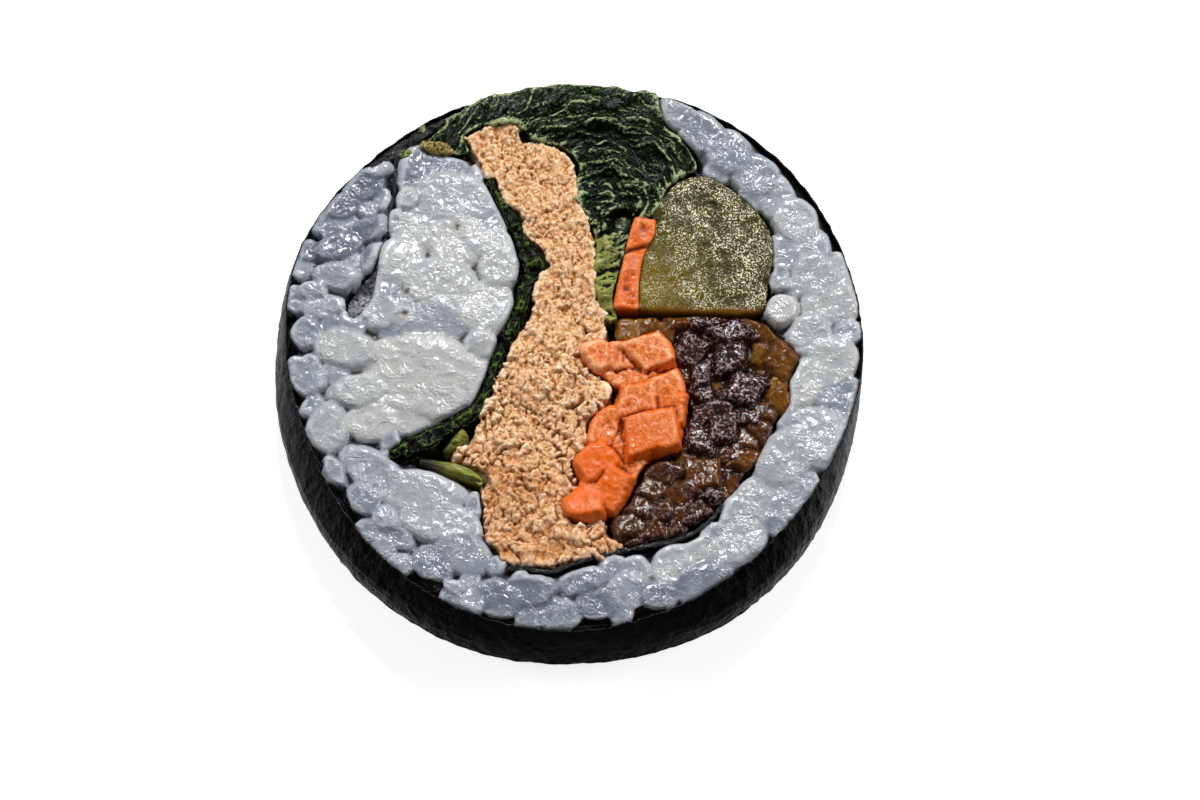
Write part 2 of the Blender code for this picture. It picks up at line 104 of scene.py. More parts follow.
def distance(points, lines, batch=4000):
    """How far each point is from an outline."""
    start, along = lines[:, 0], lines[:, 1] - lines[:, 0]
    length = np.maximum((along**2).sum(axis=1), 1e-12)
    far = np.empty(len(points))
    for first in range(0, len(points), batch):
        part = points[first : first + batch, None, :2]
        share = np.clip(((part - start) * along).sum(axis=2) / length, 0, 1)
        feet = start + share[..., None] * along
        far[first : first + batch] = ((part - feet) ** 2).sum(axis=2).min(axis=1) ** 0.5
    return far


def spread(lines, margin, step=0.5):
    """Even points over an outline's area, at least a margin inside it."""
    low, high = lines.reshape(-1, 2).min(axis=0), lines.reshape(-1, 2).max(axis=0)
    grid = np.meshgrid(np.arange(low[0], high[0], step), np.arange(low[1], high[1], step))
    points = np.stack([axis.ravel() for axis in grid], axis=1)
    points = points[inside(points, lines)]
    return points[distance(points, lines) > margin]


class Wall:
    """How far from the axis the solid sheet's outer side lies, in any direction and at any height."""

    heights = np.array([0.7, 2.0, 3.5, 5.0, 6.5, 7.8, 8.6, 9.25])
    directions = np.linspace(-np.pi, np.pi, 361)

    def __init__(self):
        self.reach = [self.measure(outline("nori_wrap", height)) for height in self.heights]

    def measure(self, lines):
        """The farthest crossing of an outline with a ray from the axis in each direction."""
        start, along = lines[:, 0], lines[:, 1] - lines[:, 0]
        ray = np.stack([np.cos(self.directions), np.sin(self.directions)], axis=1)[:, None]
        across = ray[..., 0] * along[:, 1] - ray[..., 1] * along[:, 0]
        across = np.where(abs(across) < 1e-9, 1e-9, across)
        far = (start[:, 0] * along[:, 1] - start[:, 1] * along[:, 0]) / across
        share = (start[:, 0] * ray[..., 1] - start[:, 1] * ray[..., 0]) / across
        hit = np.where((share >= 0) & (share <= 1) & (far > 0), far, 0.0).max(axis=1)
        good = hit > 0
        return np.interp(self.directions, self.directions[good], hit[good])

    def at(self, angle, height):
        columns = np.array([np.interp(angle, self.directions, row) for row in self.reach])
        place = np.interp(height, self.heights, np.arange(len(self.heights)))
        low = np.minimum(place.astype(int), len(self.heights) - 2)
        each = np.arange(len(place))
        return columns[low, each] + (columns[low + 1, each] - columns[low, each]) * (place - low)


# Noise


def smooth(values, low, high):
    """0 below one value, 1 above the other, and smooth in between."""
    share = np.clip((values - low) / (high - low), 0, 1)
    return share * share * (3 - 2 * share)


def near(points, spot, reach):
    """1 at a spot on the cut face, falling softly to 0 past its reach."""
    return np.exp(-((points[:, :2] - spot) ** 2).sum(axis=1) / reach**2)


def swells(points, rows):
    """Soft swells added up, each given by place, reach and how much it rises."""
    return sum((much * near(points, spot, reach) for spot, reach, much in rows), np.zeros(len(points)))


def scramble(cells, seed):
    """A number from 0 to 1 for each whole-numbered cell."""
    mixed = np.full(len(cells), seed * 3266489917 % 2**32, np.uint32)
    for column, factor in zip(cells.astype(np.uint32).T, (374761393, 668265263, 2246822519)):
        mixed = mixed + column * np.uint32(factor)
    mixed = (mixed ^ (mixed >> np.uint32(13))) * np.uint32(1274126177)
    return (mixed ^ (mixed >> np.uint32(16))) / 2**32


def lattice(points, seed):
    """Smooth noise between 0 and 1 with a new value at each whole number."""
    base = np.floor(points).astype(np.int64)
    part = points - base
    part = part * part * (3 - 2 * part)
    total = np.zeros(len(points))
    for corner in np.ndindex(2, 2, 2):
        weight = np.prod(np.where(corner, part, 1 - part), axis=1)
        total += weight * scramble(base + corner, seed)
    return total


def cloud(points, size, octaves=3, seed=0):
    """Soft noise between 0 and 1 whose largest lumps are of that size."""
    total, weight = np.zeros(len(points)), 0.0
    for octave in range(octaves):
        total += lattice(points / size * 2**octave + 37.7 * octave, seed + octave) / 2**octave
        weight += 1 / 2**octave
    return total / weight


def creases(points, size, octaves=3, seed=0):
    """Noise that runs up to sharp ridges at 1."""
    total, weight = np.zeros(len(points)), 0.0
    for octave in range(octaves):
        folded = 1 - abs(2 * lattice(points / size * 2**octave + 11.3 * octave, seed + octave) - 1)
        total += folded / 2**octave
        weight += 1 / 2**octave
    return total / weight


def warped(points, size, by, seed):
    """The points pushed about by soft noise, so that what is laid out over them runs unevenly."""
    return points + by * np.stack([cloud(points, size, 2, seed + k) - 0.5 for k in range(3)], axis=1)


def turned(points, angle, stretch=1.0):
    """The points in axes turned by an angle, with lengths along the first one shrunk by the stretch."""
    x, y = points[:, 0], points[:, 1]
    along, across = x * np.cos(angle) + y * np.sin(angle), y * np.cos(angle) - x * np.sin(angle)
    return np.stack([along / stretch, across, points[:, 2]], axis=1)


def swirled(points, centre, along, depth=0.5):
    """Coordinates across and along folds that lie in arcs round a centre."""
    x, y = points[:, 0] - centre[0], points[:, 1] - centre[1]
    radius, angle = np.hypot(x, y), np.arctan2(y, x)
    return np.stack([radius, angle * along, points[:, 2] * depth], axis=1)


def crumbs(points, size, seed):
    """Uneven lumps side by side: each point's own lump, as a number from 0 to 1, and how far its seam is."""
    place = points[:, :2] / size
    base = np.floor(place).astype(np.int64)
    first, second, own = np.full(len(place), 9.0), np.full(len(place), 9.0), np.zeros(len(place))
    for step in np.ndindex(3, 3):
        cell = base + step - 1
        centre = cell + 0.1 + 0.8 * np.stack([scramble(cell, seed), scramble(cell, seed + 1)], axis=1)
        far = np.linalg.norm(place - centre, axis=1)
        closer = far < first
        second = np.where(closer, first, np.minimum(second, far))
        first = np.where(closer, far, first)
        own = np.where(closer, scramble(cell, seed + 2), own)
    return own, (second - first) * size / 2


# Pieces that lie side by side and partly over each other


def soft_max(first, second, reach):
    """The higher of two heights, eased where they come within reach of each other."""
    return np.maximum(first, second) + np.maximum(reach - abs(first - second), 0) ** 2 / (4 * reach)


def in_axes(apart, turns):
    """Ways from the middles of pieces, along and across them."""
    x, y, cosines, sines = apart[..., 0], apart[..., 1], np.cos(turns), np.sin(turns)
    return x * cosines + y * sines, y * cosines - x * sines


def grain_top(heap, along, across, face, swell):
    """A grain cut through, with its own nearly level face rounded off towards its sides."""
    out = 2 * np.hypot(along / heap.lengths, across / heap.widths) / swell
    dome = 1.2 * (np.sqrt(np.maximum(1 - out**2, 0)) - 1) - 1.5 * np.maximum(out - 1, 0)
    return -soft_max(-0.42 - dome, -face, 0.2)


def cube_top(heap, along, across, face, steep):
    """A knife-cut piece with four straight sides and a level top of its own tilt."""
    side = np.minimum(heap.lengths / 2 - abs(along + heap.skews * across), heap.widths / 2 - abs(across))
    return -soft_max(0.15 - steep * side, -face, 0.3)


class Heap:
    """Pieces given by X, Y, length, width, turn in degrees, tone and rise."""

    def __init__(self, rows, rng, tilt):
        columns = (np.array(column) for column in zip(*rows))
        x, y, self.lengths, self.widths, turns, self.tones, self.rises = columns
        self.places, self.turns = np.stack([x, y], axis=1), np.radians(turns)
        self.slopes = rng.uniform(-tilt, tilt, (len(rows), 2))
        self.skews = rng.uniform(-0.45, 0.45, len(rows))

    def lay(self, points, top, form, merge, batch=8000):
        """The height over each point, and the piece that is highest there."""
        form, merge = (np.broadcast_to(values, len(points)) for values in (form, merge))
        height, owner = np.empty(len(points)), np.empty(len(points), int)
        for first in range(0, len(points), batch):
            part = slice(first, first + batch)
            apart = points[part, None, :2] - self.places
            along, across = in_axes(apart, self.turns)
            tops = self.rises + top(self, along, across, (apart * self.slopes).sum(axis=2), form[part, None])
            second, highest = np.partition(tops, -2, axis=1)[:, -2:].T
            owner[part] = tops.argmax(axis=1)
            height[part] = soft_max(highest, second, merge[part])
        return height, owner


def filled_in(rows, lines, filler, rng, margin=0.2):
    """The rows, with more pieces of the filler's length, width, tone and rise where an area is bare."""
    rows, (length, width, tone, rise) = list(rows), filler
    for place in rng.permutation(spread(lines, margin)):
        x, y, lengths, widths, turns = (np.array(part) for part in list(zip(*rows))[:5])
        along, across = in_axes(place - np.stack([x, y], axis=1), np.radians(turns))
        if np.hypot(2 * along / lengths, 2 * across / widths).min() > 1.2:
            size = rng.uniform(0.85, 1.15)
            rows.append((*place, length * size, width * size, rng.uniform(0, 180), tone, rise))
    return rows


# Making shapes


def band(shape, node, low, high, top=None):
    """Adds a node's solid between two heights, closed again at both. Its upper face may be lifted further."""
    part = solid(node)
    for height, side in ((low, -1), (high, 1)):
        everything = part.verts[:] + part.edges[:] + part.faces[:]
        cut = bmesh.ops.bisect_plane(
            part, geom=everything, plane_co=(0, 0, height), plane_no=(0, 0, side), clear_outer=True
        )
        edges = [piece for piece in cut["geom_cut"] if isinstance(piece, bmesh.types.BMEdge)]
        if edges:
            bmesh.ops.triangle_fill(part, use_beauty=True, edges=edges, normal=(0, 0, side))
    bmesh.ops.recalc_face_normals(part, faces=part.faces)
    if top:
        upper = [vert for vert in part.verts if vert.co.z > high - 0.01]
        bmesh.ops.translate(part, vec=(0, 0, top - high), verts=upper)
    mesh = bpy.data.meshes.new("band")
    part.to_mesh(mesh)
    part.free()
    shape.from_mesh(mesh)
    bpy.data.meshes.remove(mesh)


def evaluated(holder):
    """The mesh that an object's curve or modifiers make. The object itself goes."""
    bpy.context.scene.collection.objects.link(holder)
    bpy.context.view_layer.update()
    mesh = bpy.data.meshes.new_from_object(holder.evaluated_get(bpy.context.evaluated_depsgraph_get()))
    bpy.data.objects.remove(holder)
    return mesh


class Skin:
    """A fine closed surface round a shape, ready to be moved and toned point by point."""

    def __init__(self, shape, voxel, open_below=None):
        raw = bpy.data.meshes.new("raw")
        shape.to_mesh(raw)
        shape.free()
        holder = bpy.data.objects.new("raw", raw)
        if voxel:
            merge = holder.modifiers.new("Merge", "REMESH")
            merge.mode = "VOXEL"
            merge.voxel_size = voxel
        self.mesh = evaluated(holder)
        bpy.data.meshes.remove(raw)
        self.voxel = voxel
        self.open = open_below is not None
        if self.open:
            self.drop_underside(open_below + voxel)
        self.co = self.read(self.mesh.vertices, "co", 3)
        self.edges = self.read(self.mesh.edges, "vertices", 2, np.int32)
        self.degree = np.bincount(self.edges.ravel(), minlength=len(self.co)).astype(float)

    def drop_underside(self, level):
        """Leaves the hidden flat underside out until the piece is finished, when large faces close it."""
        shape = bmesh.new()
        shape.from_mesh(self.mesh)
        under = [face for face in shape.faces if face.normal.z < -0.7 and face.calc_center_median().z < level]
        bmesh.ops.delete(shape, geom=under, context="FACES")
        shape.to_mesh(self.mesh)
        shape.free()

    @staticmethod
    def read(items, name, width, kind=np.float32):
        values = np.empty(len(items) * width, kind)
        items.foreach_get(name, values)
        return values.reshape(-1, width).astype(float if kind == np.float32 else kind)

    def polar(self):
        """Each point's direction from the roll's axis and its distance."""
        return np.arctan2(self.co[:, 1], self.co[:, 0]), np.hypot(self.co[:, 0], self.co[:, 1])

    def neighbours(self, values):
        """The mean over each point's neighbours."""
        a, b = self.edges.T
        total = np.bincount(a, values[b], len(values)) + np.bincount(b, values[a], len(values))
        return total / self.degree

    def eased(self, values, rounds):
        """Values that change more softly from point to point."""
        for _ in range(rounds):
            values = values + (self.neighbours(values) - values) * 0.7
        return values

    def soften(self, rounds, share=0.5):
        for _ in range(rounds):
            mean = np.stack([self.neighbours(self.co[:, k]) for k in range(3)], axis=1)
            self.co += (mean - self.co) * share

    def normals(self):
        self.mesh.vertices.foreach_set("co", self.co.ravel())
        self.mesh.update()
        return self.read(self.mesh.vertex_normals, "vector", 3)

    def swell(self, by):
        """Moves the surface out along its own normals."""
        self.co += self.normals() * np.broadcast_to(by, len(self.co))[:, None]

    def notch(self, by):
        """Moves upright sides in."""
        normals = self.normals()
        self.co -= normals * ((1 - abs(normals[:, 2])) * by)[:, None]

    def widen(self, by):
        """Moves upright sides out low down, where the gap that this closes can't be seen from the side."""
        self.notch(-by * (1 - smooth(self.co[:, 2], *HIDDEN)))

    def lift(self, by):
        """Raises the upper face, and the sides less the lower they lie."""
        self.co[:, 2] += smooth(self.co[:, 2], FACE_HEIGHT - 1.2, FACE_HEIGHT - 0.2) * by

    def stand(self, reach):
        """How far each point stands out from the surface round it, out to that reach."""
        rounds = round((reach / self.voxel) ** 2)
        mean = np.stack([self.eased(self.co[:, k], rounds) for k in range(3)], axis=1)
        return ((self.co - mean) * self.normals()).sum(axis=1)

    def relief(self, broad, fine, more=0.0):
        """Marks what stands out, above 0.5, and what lies deep, below it, for the materials, which paint
        shade into what lies deep and light onto what stands out.
        """
        self.tone("stand", 0.5 + broad * self.stand(0.55) + fine * self.stand(0.24) + more)

    def rest(self):
        """Keeps every point on or above the resting face."""
        self.co[:, 2] = np.maximum(self.co[:, 2], 0.0)

    def tone(self, name, values):
        layer = self.mesh.attributes.new(name, "FLOAT", "POINT")
        layer.data.foreach_set("value", np.clip(values, 0, 1).astype(np.float32))

    def finish(self, name, material, node, slot):
        over, room = np.maximum(self.co[:, 2] - LEVELLING, 0), CEILING - LEVELLING
        self.co[:, 2] -= over - room * (1 - np.exp(-over / room))
        self.mesh.vertices.foreach_set("co", self.co.ravel())
        shape = bmesh.new()
        shape.from_mesh(self.mesh)
        if self.open:
            rim = [edge for edge in shape.edges if edge.is_boundary]
            bmesh.ops.triangle_fill(shape, use_beauty=True, edges=rim, normal=(0, 0, -1))
        bmesh.ops.translate(shape, vec=(*AXIS, 0), verts=shape.verts)
        bmesh.ops.scale(shape, vec=(0.001, 0.001, 0.001), verts=shape.verts)
        shape.to_mesh(self.mesh)
        shape.free()
        self.mesh.name = name
        self.mesh.shade_smooth()
        self.mesh.materials.clear()
        self.mesh.materials.append(material)
        piece = bpy.data.objects.new(name, self.mesh)
        bpy.context.scene.collection.objects.link(piece)
        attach(piece, "root")
        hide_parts(node)
        return piece


def slab(node, voxel, top=FACE_HEIGHT - TOUCH, grow=TOUCH, rounds=4, ragged=0.0):
    """A node's upper layer as a fine skin with a flat top, softened edges and more or less ragged sides."""
    shape = bmesh.new()
    band(shape, node, LAYER_LOW, SECTION_HEIGHT, top)
    skin = Skin(shape, voxel, LAYER_LOW)
    upright = 1 - abs(skin.normals()[:, 2])
    skin.swell(grow + ragged * upright * (2 * cloud(skin.co * (1, 1, 0), 1.5, 3, 12) - 1))
    skin.soften(rounds)
    return skin


def crowd(skin, sheet, by):
    """Grows a piece over the edge of a sheet beside it."""
    skin.swell(by * np.exp(-((distance(skin.co, outline(sheet)) / 0.8) ** 2)))


def sheet_reach(angle, z):
    """How far from the axis the crinkled outer sheet lies."""
    radius = WALL.at(angle, np.clip(z, WALL.heights[0], WALL.heights[-1]))
    around = np.stack([radius * np.cos(angle), radius * np.sin(angle), z * 0.5], axis=1)
    crinkle = creases(warped(around, 1.6, 0.8, 30), 1.1, 3, 7)
    return radius - 0.02 - 0.2 * (1 - crinkle) - 0.05 * cloud(around, 5.0, 2, 8)


def under_part(node, material, slot, seed):
    """The plain part of a filling below its upper layer, a little uneven on the resting face, with painted
    shade towards its top.
    """
    shape = bmesh.new()
    band(shape, node, BELOW, LAYER_LOW + 0.5)
    skin = Skin(shape, 0.4)
    skin.soften(2)
    skin.swell(TOUCH)
    beside = [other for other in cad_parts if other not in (node, "stem_lower", "stem_upper")]
    gap = distance(skin.co, np.concatenate([outline(other, MIDDLE_HEIGHT) for other in beside]))
    skin.widen(np.minimum(0.3 + gap / 2, CLOSING))
    angle, radius = skin.polar()
    room = (sheet_reach(angle, skin.co[:, 2]) - SHEET - 0.04) / np.maximum(radius, 0.01)
    skin.co[:, :2] *= np.minimum(room, 1)[:, None]
    bumps = creases(skin.co, 1.6, 2, seed)
    skin.co[:, 2] += np.where(skin.co[:, 2] < 1.0, 0.5 * (1 - bumps), 0.0)
    skin.rest()
    # Its dips are marked as deep for painted shade, and its top is marked with the gap attribute for painted
    # shade.
    skin.tone("stand", 0.35 + 0.5 * bumps)
    skin.tone("tone", cloud(skin.co, 3.0, 2, seed + 5))
    skin.tone("gap", smooth(skin.co[:, 2], 5.5, 7.0))
    skin.finish(f"{node}_under", material, node, slot)


# Shader maths


def rgb(red, green, blue):
    """A colour as it looks on a screen, 0 to 255, as light."""
    parts = (value / 255 for value in (red, green, blue))
    return tuple(p / 12.92 if p <= 0.04045 else ((p + 0.055) / 1.055) ** 2.4 for p in parts) + (1.0,)


class Wire:
    """A shader value on which Python's arithmetic works."""

    def __init__(self, nodes, socket):
        self.nodes, self.socket = nodes, socket

    def maths(self, operation, *values):
        return self.nodes.node("Math", {"operation": operation}, dict(enumerate(values)))

    def __add__(self, other):
        return self.maths("ADD", self, other)

    def __sub__(self, other):
        return self.maths("SUBTRACT", self, other)

    def __rsub__(self, other):
        return self.maths("SUBTRACT", other, self)

    def __mul__(self, other):
        return self.maths("MULTIPLY", self, other)

    __radd__ = __add__
    __rmul__ = __mul__

    def between(self, low, high, least=0.0, most=1.0):
        """The least at the low value, the most at the high one, and smooth in between."""
        sockets = {"Value": self, "From Min": low, "From Max": high, "To Min": least, "To Max": most}
        return self.nodes.node("MapRange", {"interpolation_type": "SMOOTHSTEP"}, sockets)


class Nodes:
    """The nodes of a material or of the world, all made by one method."""

    def __init__(self, tree):
        self.tree = tree

    def node(self, kind, settings=None, sockets=None, out=0):
        made = self.tree.nodes.new("ShaderNode" + kind)
        for name, value in (settings or {}).items():
            if name == "stops":
                for stop, (position, *colour) in zip(self.stops(made.color_ramp, len(value)), value):
                    stop.position, stop.color = position, rgb(*colour)
            else:
                setattr(made, name, value)
        for name, value in (sockets or {}).items():
            if isinstance(value, Wire):
                self.tree.links.new(value.socket, made.inputs[name])
            else:
                made.inputs[name].default_value = value
        return Wire(self, made.outputs[out])

    @staticmethod
    def stops(ramp, count):
        while len(ramp.elements) < count:
            ramp.elements.new(1.0)
        return ramp.elements


class Finish(Nodes):
    """A material, with the sockets that are the same all over set on its shader."""

    def __init__(self, name, **fixed):
        self.material = bpy.data.materials.new(name)
        self.material.use_nodes = True
        super().__init__(self.material.node_tree)
        self.shader = self.tree.nodes["Principled BSDF"]
        for socket, value in fixed.items():
            self.shader.inputs[socket.replace("_", " ")].default_value = value
        place = self.node("TexCoord", out="Object")
        self.place = self.node("VectorMath", {"operation": "SCALE"}, {0: place, "Scale": 1000.0})

    def attributes(self, *names):
        return [self.node("Attribute", {"attribute_name": name}, out="Fac") for name in names]

    def noise(self, size, detail=2.0, rough=0.5, place=None, warp=0.0):
        sockets = {"Scale": 1 / size, "Detail": detail, "Roughness": rough, "Distortion": warp}
        return self.node("TexNoise", {}, {"Vector": place or self.place, **sockets})

    def stretched(self, x, y, z, turn=0.0):
        """Coordinates for a pattern drawn out to that many times its size along each axis."""
        sockets = {"Vector": self.place, "Scale": (x, y, z), "Rotation": (0, 0, turn)}
        return self.node("Mapping", {"vector_type": "TEXTURE"}, sockets)

    def ramp(self, value, *stops):
        """Colours by value, each stop given by its place and its colour as it looks on a screen."""
        return self.node("ValToRGB", {"stops": stops}, {0: value}, "Color")

    def mix(self, share, first, second):
        settings = {"data_type": "RGBA", "blend_type": "MIX"}
        return self.node("Mix", settings, {0: share, 6: first, 7: second}, 2)

    def bump(self, height, strength, distance, under=None):
        sockets = {"Strength": strength, "Distance": distance * 0.001, "Height": height}
        if under:
            sockets["Normal"] = under
        return self.node("Bump", {}, sockets)

    def wear(self, **varying):
        for socket, value in varying.items():
            self.tree.links.new(value.socket, self.shader.inputs[socket.replace("_", " ")])
        return self.material


def seaweed(name, low, high, specular):
    finish = Finish(name, Specular_IOR_Level=specular, IOR=1.45)
    (tone,) = finish.attributes("tone")
    streak = finish.noise(0.7, 4.0, 0.62, finish.stretched(0.8, 0.8, 2.4), 0.9)
    grain = finish.noise(0.3, 2.0, 0.55)
    patch = finish.noise(5.0, 2.0)
    # Lighter along the streaks and grain: partly the sheet's own mottling, partly a painted sheen.
    dark = finish.mix((streak * 0.7 + grain * 0.3).between(0.45, 0.75), rgb(*low), rgb(*high))
    green = finish.mix(patch.between(0.5, 0.8) * 0.4, dark, rgb(8, 12, 7))
    # Where the tone attribute is set, the sheet is painted pale grey-violet as a painted sheen.
    pale = finish.mix(tone * grain.between(0.3, 0.6), green, rgb(164, 162, 172))
    bump = finish.bump(grain, 0.6, 0.07, finish.bump(streak, 1.0, 0.3))
    return finish.wear(Base_Color=pale, Roughness=0.34 - streak * 0.2, Normal=bump)


def boiled_rice():
    finish = Finish(
        "boiled_rice",
        Subsurface_Weight=0.3,
        Subsurface_Scale=0.0005,
        Subsurface_Radius=(1.0, 0.97, 0.93),
        IOR=1.45,
        Specular_IOR_Level=0.7,
    )
    tone, stand, stain, gap = finish.attributes("tone", "stand", "stain", "gap")
    starch = finish.noise(1.5, 4.0, 0.6, None, 0.6)
    crinkle = finish.noise(0.55, 2.0, 0.5, None, 0.8)
    fine = finish.noise(0.26, 1.0, 0.5)
    clear = (tone + starch * 0.6 - 0.3).between(0.0, 1.0)
    grain = finish.ramp(
        clear, (0.0, 98, 104, 117), (0.3, 136, 142, 152), (0.6, 160, 163, 167), (1.0, 182, 183, 180)
    )
    # Painted highlight: what stands out is lightened towards grey-white.
    edge = finish.mix(stand.between(0.52, 0.8) * 0.4, grain, rgb(208, 211, 214))
    # Painted shade: what lies deep is darkened to grey, and to near black where the gap attribute is set.
    deep = finish.mix(stand.between(0.46, 0.15) * 0.85, edge, rgb(78, 80, 86))
    dark = finish.mix(gap, deep, rgb(34, 33, 36))
    spoilt = finish.mix(stain, dark, rgb(128, 104, 74))
    bump = finish.bump(fine * starch.between(0.45, 0.6), 1.0, 0.1, finish.bump(crinkle, 0.6, 0.13))
    return finish.wear(Base_Color=spoilt, Roughness=0.04 + crinkle * 0.2, Normal=bump)


def flaked_tuna():
    finish = Finish(
        "flaked_tuna",
        Subsurface_Weight=0.15,
        Subsurface_Scale=0.0005,
        Subsurface_Radius=(1.0, 0.6, 0.35),
        Specular_IOR_Level=0.12,
    )
    stand, tone = finish.attributes("stand", "tone")
    fine = finish.noise(0.24, 2.0, 0.6)
    coarse = finish.noise(0.6, 2.0, 0.6)
    # Colour by relief as well as noise: painted shade in orange-brown where the flakes lie deep, painted
    # light in pale peach where they stand out.
    flesh = finish.ramp(
        stand * 0.8 + (fine - 0.5) * 1.0 + (coarse - 0.5) * 0.6 + 0.1,
        (0.1, 92, 44, 14),
        (0.3, 164, 104, 54),
        (0.46, 206, 156, 108),
        (0.66, 230, 192, 152),
        (0.88, 250, 228, 200),
    )
    spiced = finish.mix(tone.between(0.4, 0.9) * 0.55, flesh, rgb(184, 118, 64))
    return finish.wear(Base_Color=spiced, Roughness=0.75 - fine * 0.3, Normal=finish.bump(fine, 1.0, 0.12))


def wet_leaf(name, low, middle, high, yellow):
    finish = Finish(name, IOR=1.5, Specular_IOR_Level=0.12)
    stand, tone = finish.attributes("stand", "tone")
    vein = finish.noise(0.32, 2.0, 0.6, finish.stretched(2.4, 1.0, 1.0, 0.5), 1.2)
    fine = finish.noise(0.22, 1.0, 0.5)
    # Colour by relief as well as veins: painted shade near black in the folds, painted highlight up to the
    # pale third colour on the ridges.
    lit = stand * 1.05 + (vein - 0.5) * 0.75 + (fine - 0.5) * 0.75 - 0.06
    leaf = finish.ramp(lit, (0.42, *low), (0.64, *middle), (1.0, *high))
    old = finish.mix(tone.between(0.45, 0.9) * lit.between(0.44, 0.7) * 0.9, leaf, rgb(*yellow))
    bump = finish.bump(fine, 0.6, 0.08, finish.bump(vein, 0.8, 0.16))
    return finish.wear(Base_Color=old, Roughness=0.05 + fine * 0.16, Normal=bump)


def pickled():
    finish = Finish(
        "pickled_gourd", Subsurface_Weight=0.06, Subsurface_Scale=0.0005, IOR=1.5, Specular_IOR_Level=0.08
    )
    stand, tone, stain = finish.attributes("stand", "tone", "stain")
    speck = finish.noise(0.14, 0.0, 0.5)
    blotch = finish.noise(1.5, 5.0, 0.68)
    flesh = finish.ramp(blotch, (0.32, 34, 31, 2), (0.5, 60, 57, 8), (0.68, 90, 86, 22))
    sour = finish.mix(stain * 0.75, flesh, rgb(114, 94, 4))
    # Painted glints: pale specks where the wet face would catch the light.
    frosted = speck.between(0.55, 0.63) * blotch.between(0.36, 0.6) * (1.0 - stain * 0.6)
    frost = finish.mix(frosted, sour, rgb(226, 220, 196))
    skin = finish.mix(tone.between(0.5, 0.0), frost, rgb(104, 68, 12))
    # Painted shade along the rim, where the face rounds down.
    rim = finish.mix(stand.between(0.44, 0.2), skin, rgb(24, 20, 6))
    return finish.wear(Base_Color=rim, Roughness=0.16 + speck * 0.2, Normal=finish.bump(speck, 0.8, 0.06))


def cooked_carrot():
    finish = Finish(
        "cooked_carrot",
        Subsurface_Weight=0.2,
        Subsurface_Scale=0.0007,
        Subsurface_Radius=(1.0, 0.4, 0.12),
        IOR=1.5,
        Specular_IOR_Level=0.28,
    )
    stand, tone, gap = finish.attributes("stand", "tone", "gap")
    fibre = finish.noise(0.45, 3.0, 0.66, None, 0.8)
    fine = finish.noise(0.25, 1.0, 0.5)
    # Colour by relief as well as fibres: painted shade in deep orange-red where it lies low, painted light in
    # pale salmon where it stands out.
    lit = stand * 0.5 + (fibre - 0.5) * 0.8 + (fine - 0.5) * 0.35 + 0.24
    flesh = finish.ramp(
        lit, (0.2, 120, 40, 4), (0.4, 200, 92, 28), (0.55, 220, 128, 68), (0.85, 246, 192, 150)
    )
    bright = finish.mix(tone.between(0.3, 0.9) * 0.9, flesh, rgb(226, 98, 6))
    # Painted shade: darker where the pieces lie deep, darkest where the gap attribute marks the seams.
    deep = finish.mix(stand.between(0.44, 0.22) * 0.9, bright, rgb(108, 34, 3))
    dark = finish.mix(gap, deep, rgb(60, 18, 4))
    bump = finish.bump(fine, 0.6, 0.06, finish.bump(fibre, 0.7, 0.14))
    return finish.wear(Base_Color=dark, Roughness=0.06 + fibre * 0.18, Normal=bump)


def braised():
    finish = Finish(
        "braised_burdock",
        Subsurface_Weight=0.1,
        Subsurface_Scale=0.0006,
        Subsurface_Radius=(1.0, 0.4, 0.1),
        IOR=1.6,
        Specular_IOR_Level=0.28,
    )
    stand, tone, gap = finish.attributes("stand", "tone", "gap")
    fine = finish.noise(0.26, 1.0, 0.5)
    wrinkle = finish.noise(0.6, 3.0, 0.66, None, 0.8)
    body = finish.ramp(
        tone + (wrinkle - 0.5) * 0.8,
        (0.0, 34, 14, 10),
        (0.3, 58, 24, 7),
        (0.55, 92, 50, 10),
        (0.75, 118, 75, 18),
        (1.0, 142, 95, 28),
    )
    # Painted glints: pale specks on the darker pieces' raised tops.
    frosted = fine.between(0.5, 0.6) * stand.between(0.48, 0.62) * tone.between(0.5, 0.1) * 0.7
    dull = finish.mix(frosted, body, rgb(166, 148, 152))
    # Painted shade: darker where the pieces lie deep, near black where the gap attribute marks the gaps
    # between them.
    deep = finish.mix(stand.between(0.48, 0.25) * 0.9, dull, rgb(14, 4, 1))
    dark = finish.mix(gap, deep, rgb(6, 2, 1))
    bump = finish.bump(fine, 0.6, 0.06, finish.bump(wrinkle, 0.5, 0.14))
    return finish.wear(Base_Color=dark, Roughness=0.06 + fine * 0.16, Normal=bump)


def leaf_stem():
    finish = Finish("leaf_stem", Subsurface_Weight=0.1, Subsurface_Scale=0.0006, IOR=1.45)
    (tone,) = finish.attributes("tone")
    streak = finish.noise(0.26, 3.0, 0.6, finish.stretched(5.0, 1.0, 1.0, -0.35))
    body = finish.ramp(streak, (0.3, 64, 64, 12), (0.5, 112, 116, 30), (0.75, 176, 180, 84))
    # Painted shade: the stem is darkened where the tone attribute is low, where it comes out from between the
    # fillings.
    dark = finish.mix(tone, rgb(22, 24, 6), body)
    return finish.wear(Base_Color=dark, Roughness=0.3 + streak * 0.2, Normal=finish.bump(streak, 0.8, 0.15))


# The second colour is that of the lighter streaks, partly the sheet's mottling and partly painted sheen.
SEAWEED = seaweed("roasted_seaweed", (3, 3, 4), (34, 34, 37), 0.35)
DAMP_SEAWEED = seaweed("damp_seaweed", (5, 5, 6), (48, 47, 52), 0.5)
RICE = boiled_rice()
TUNA = flaked_tuna()
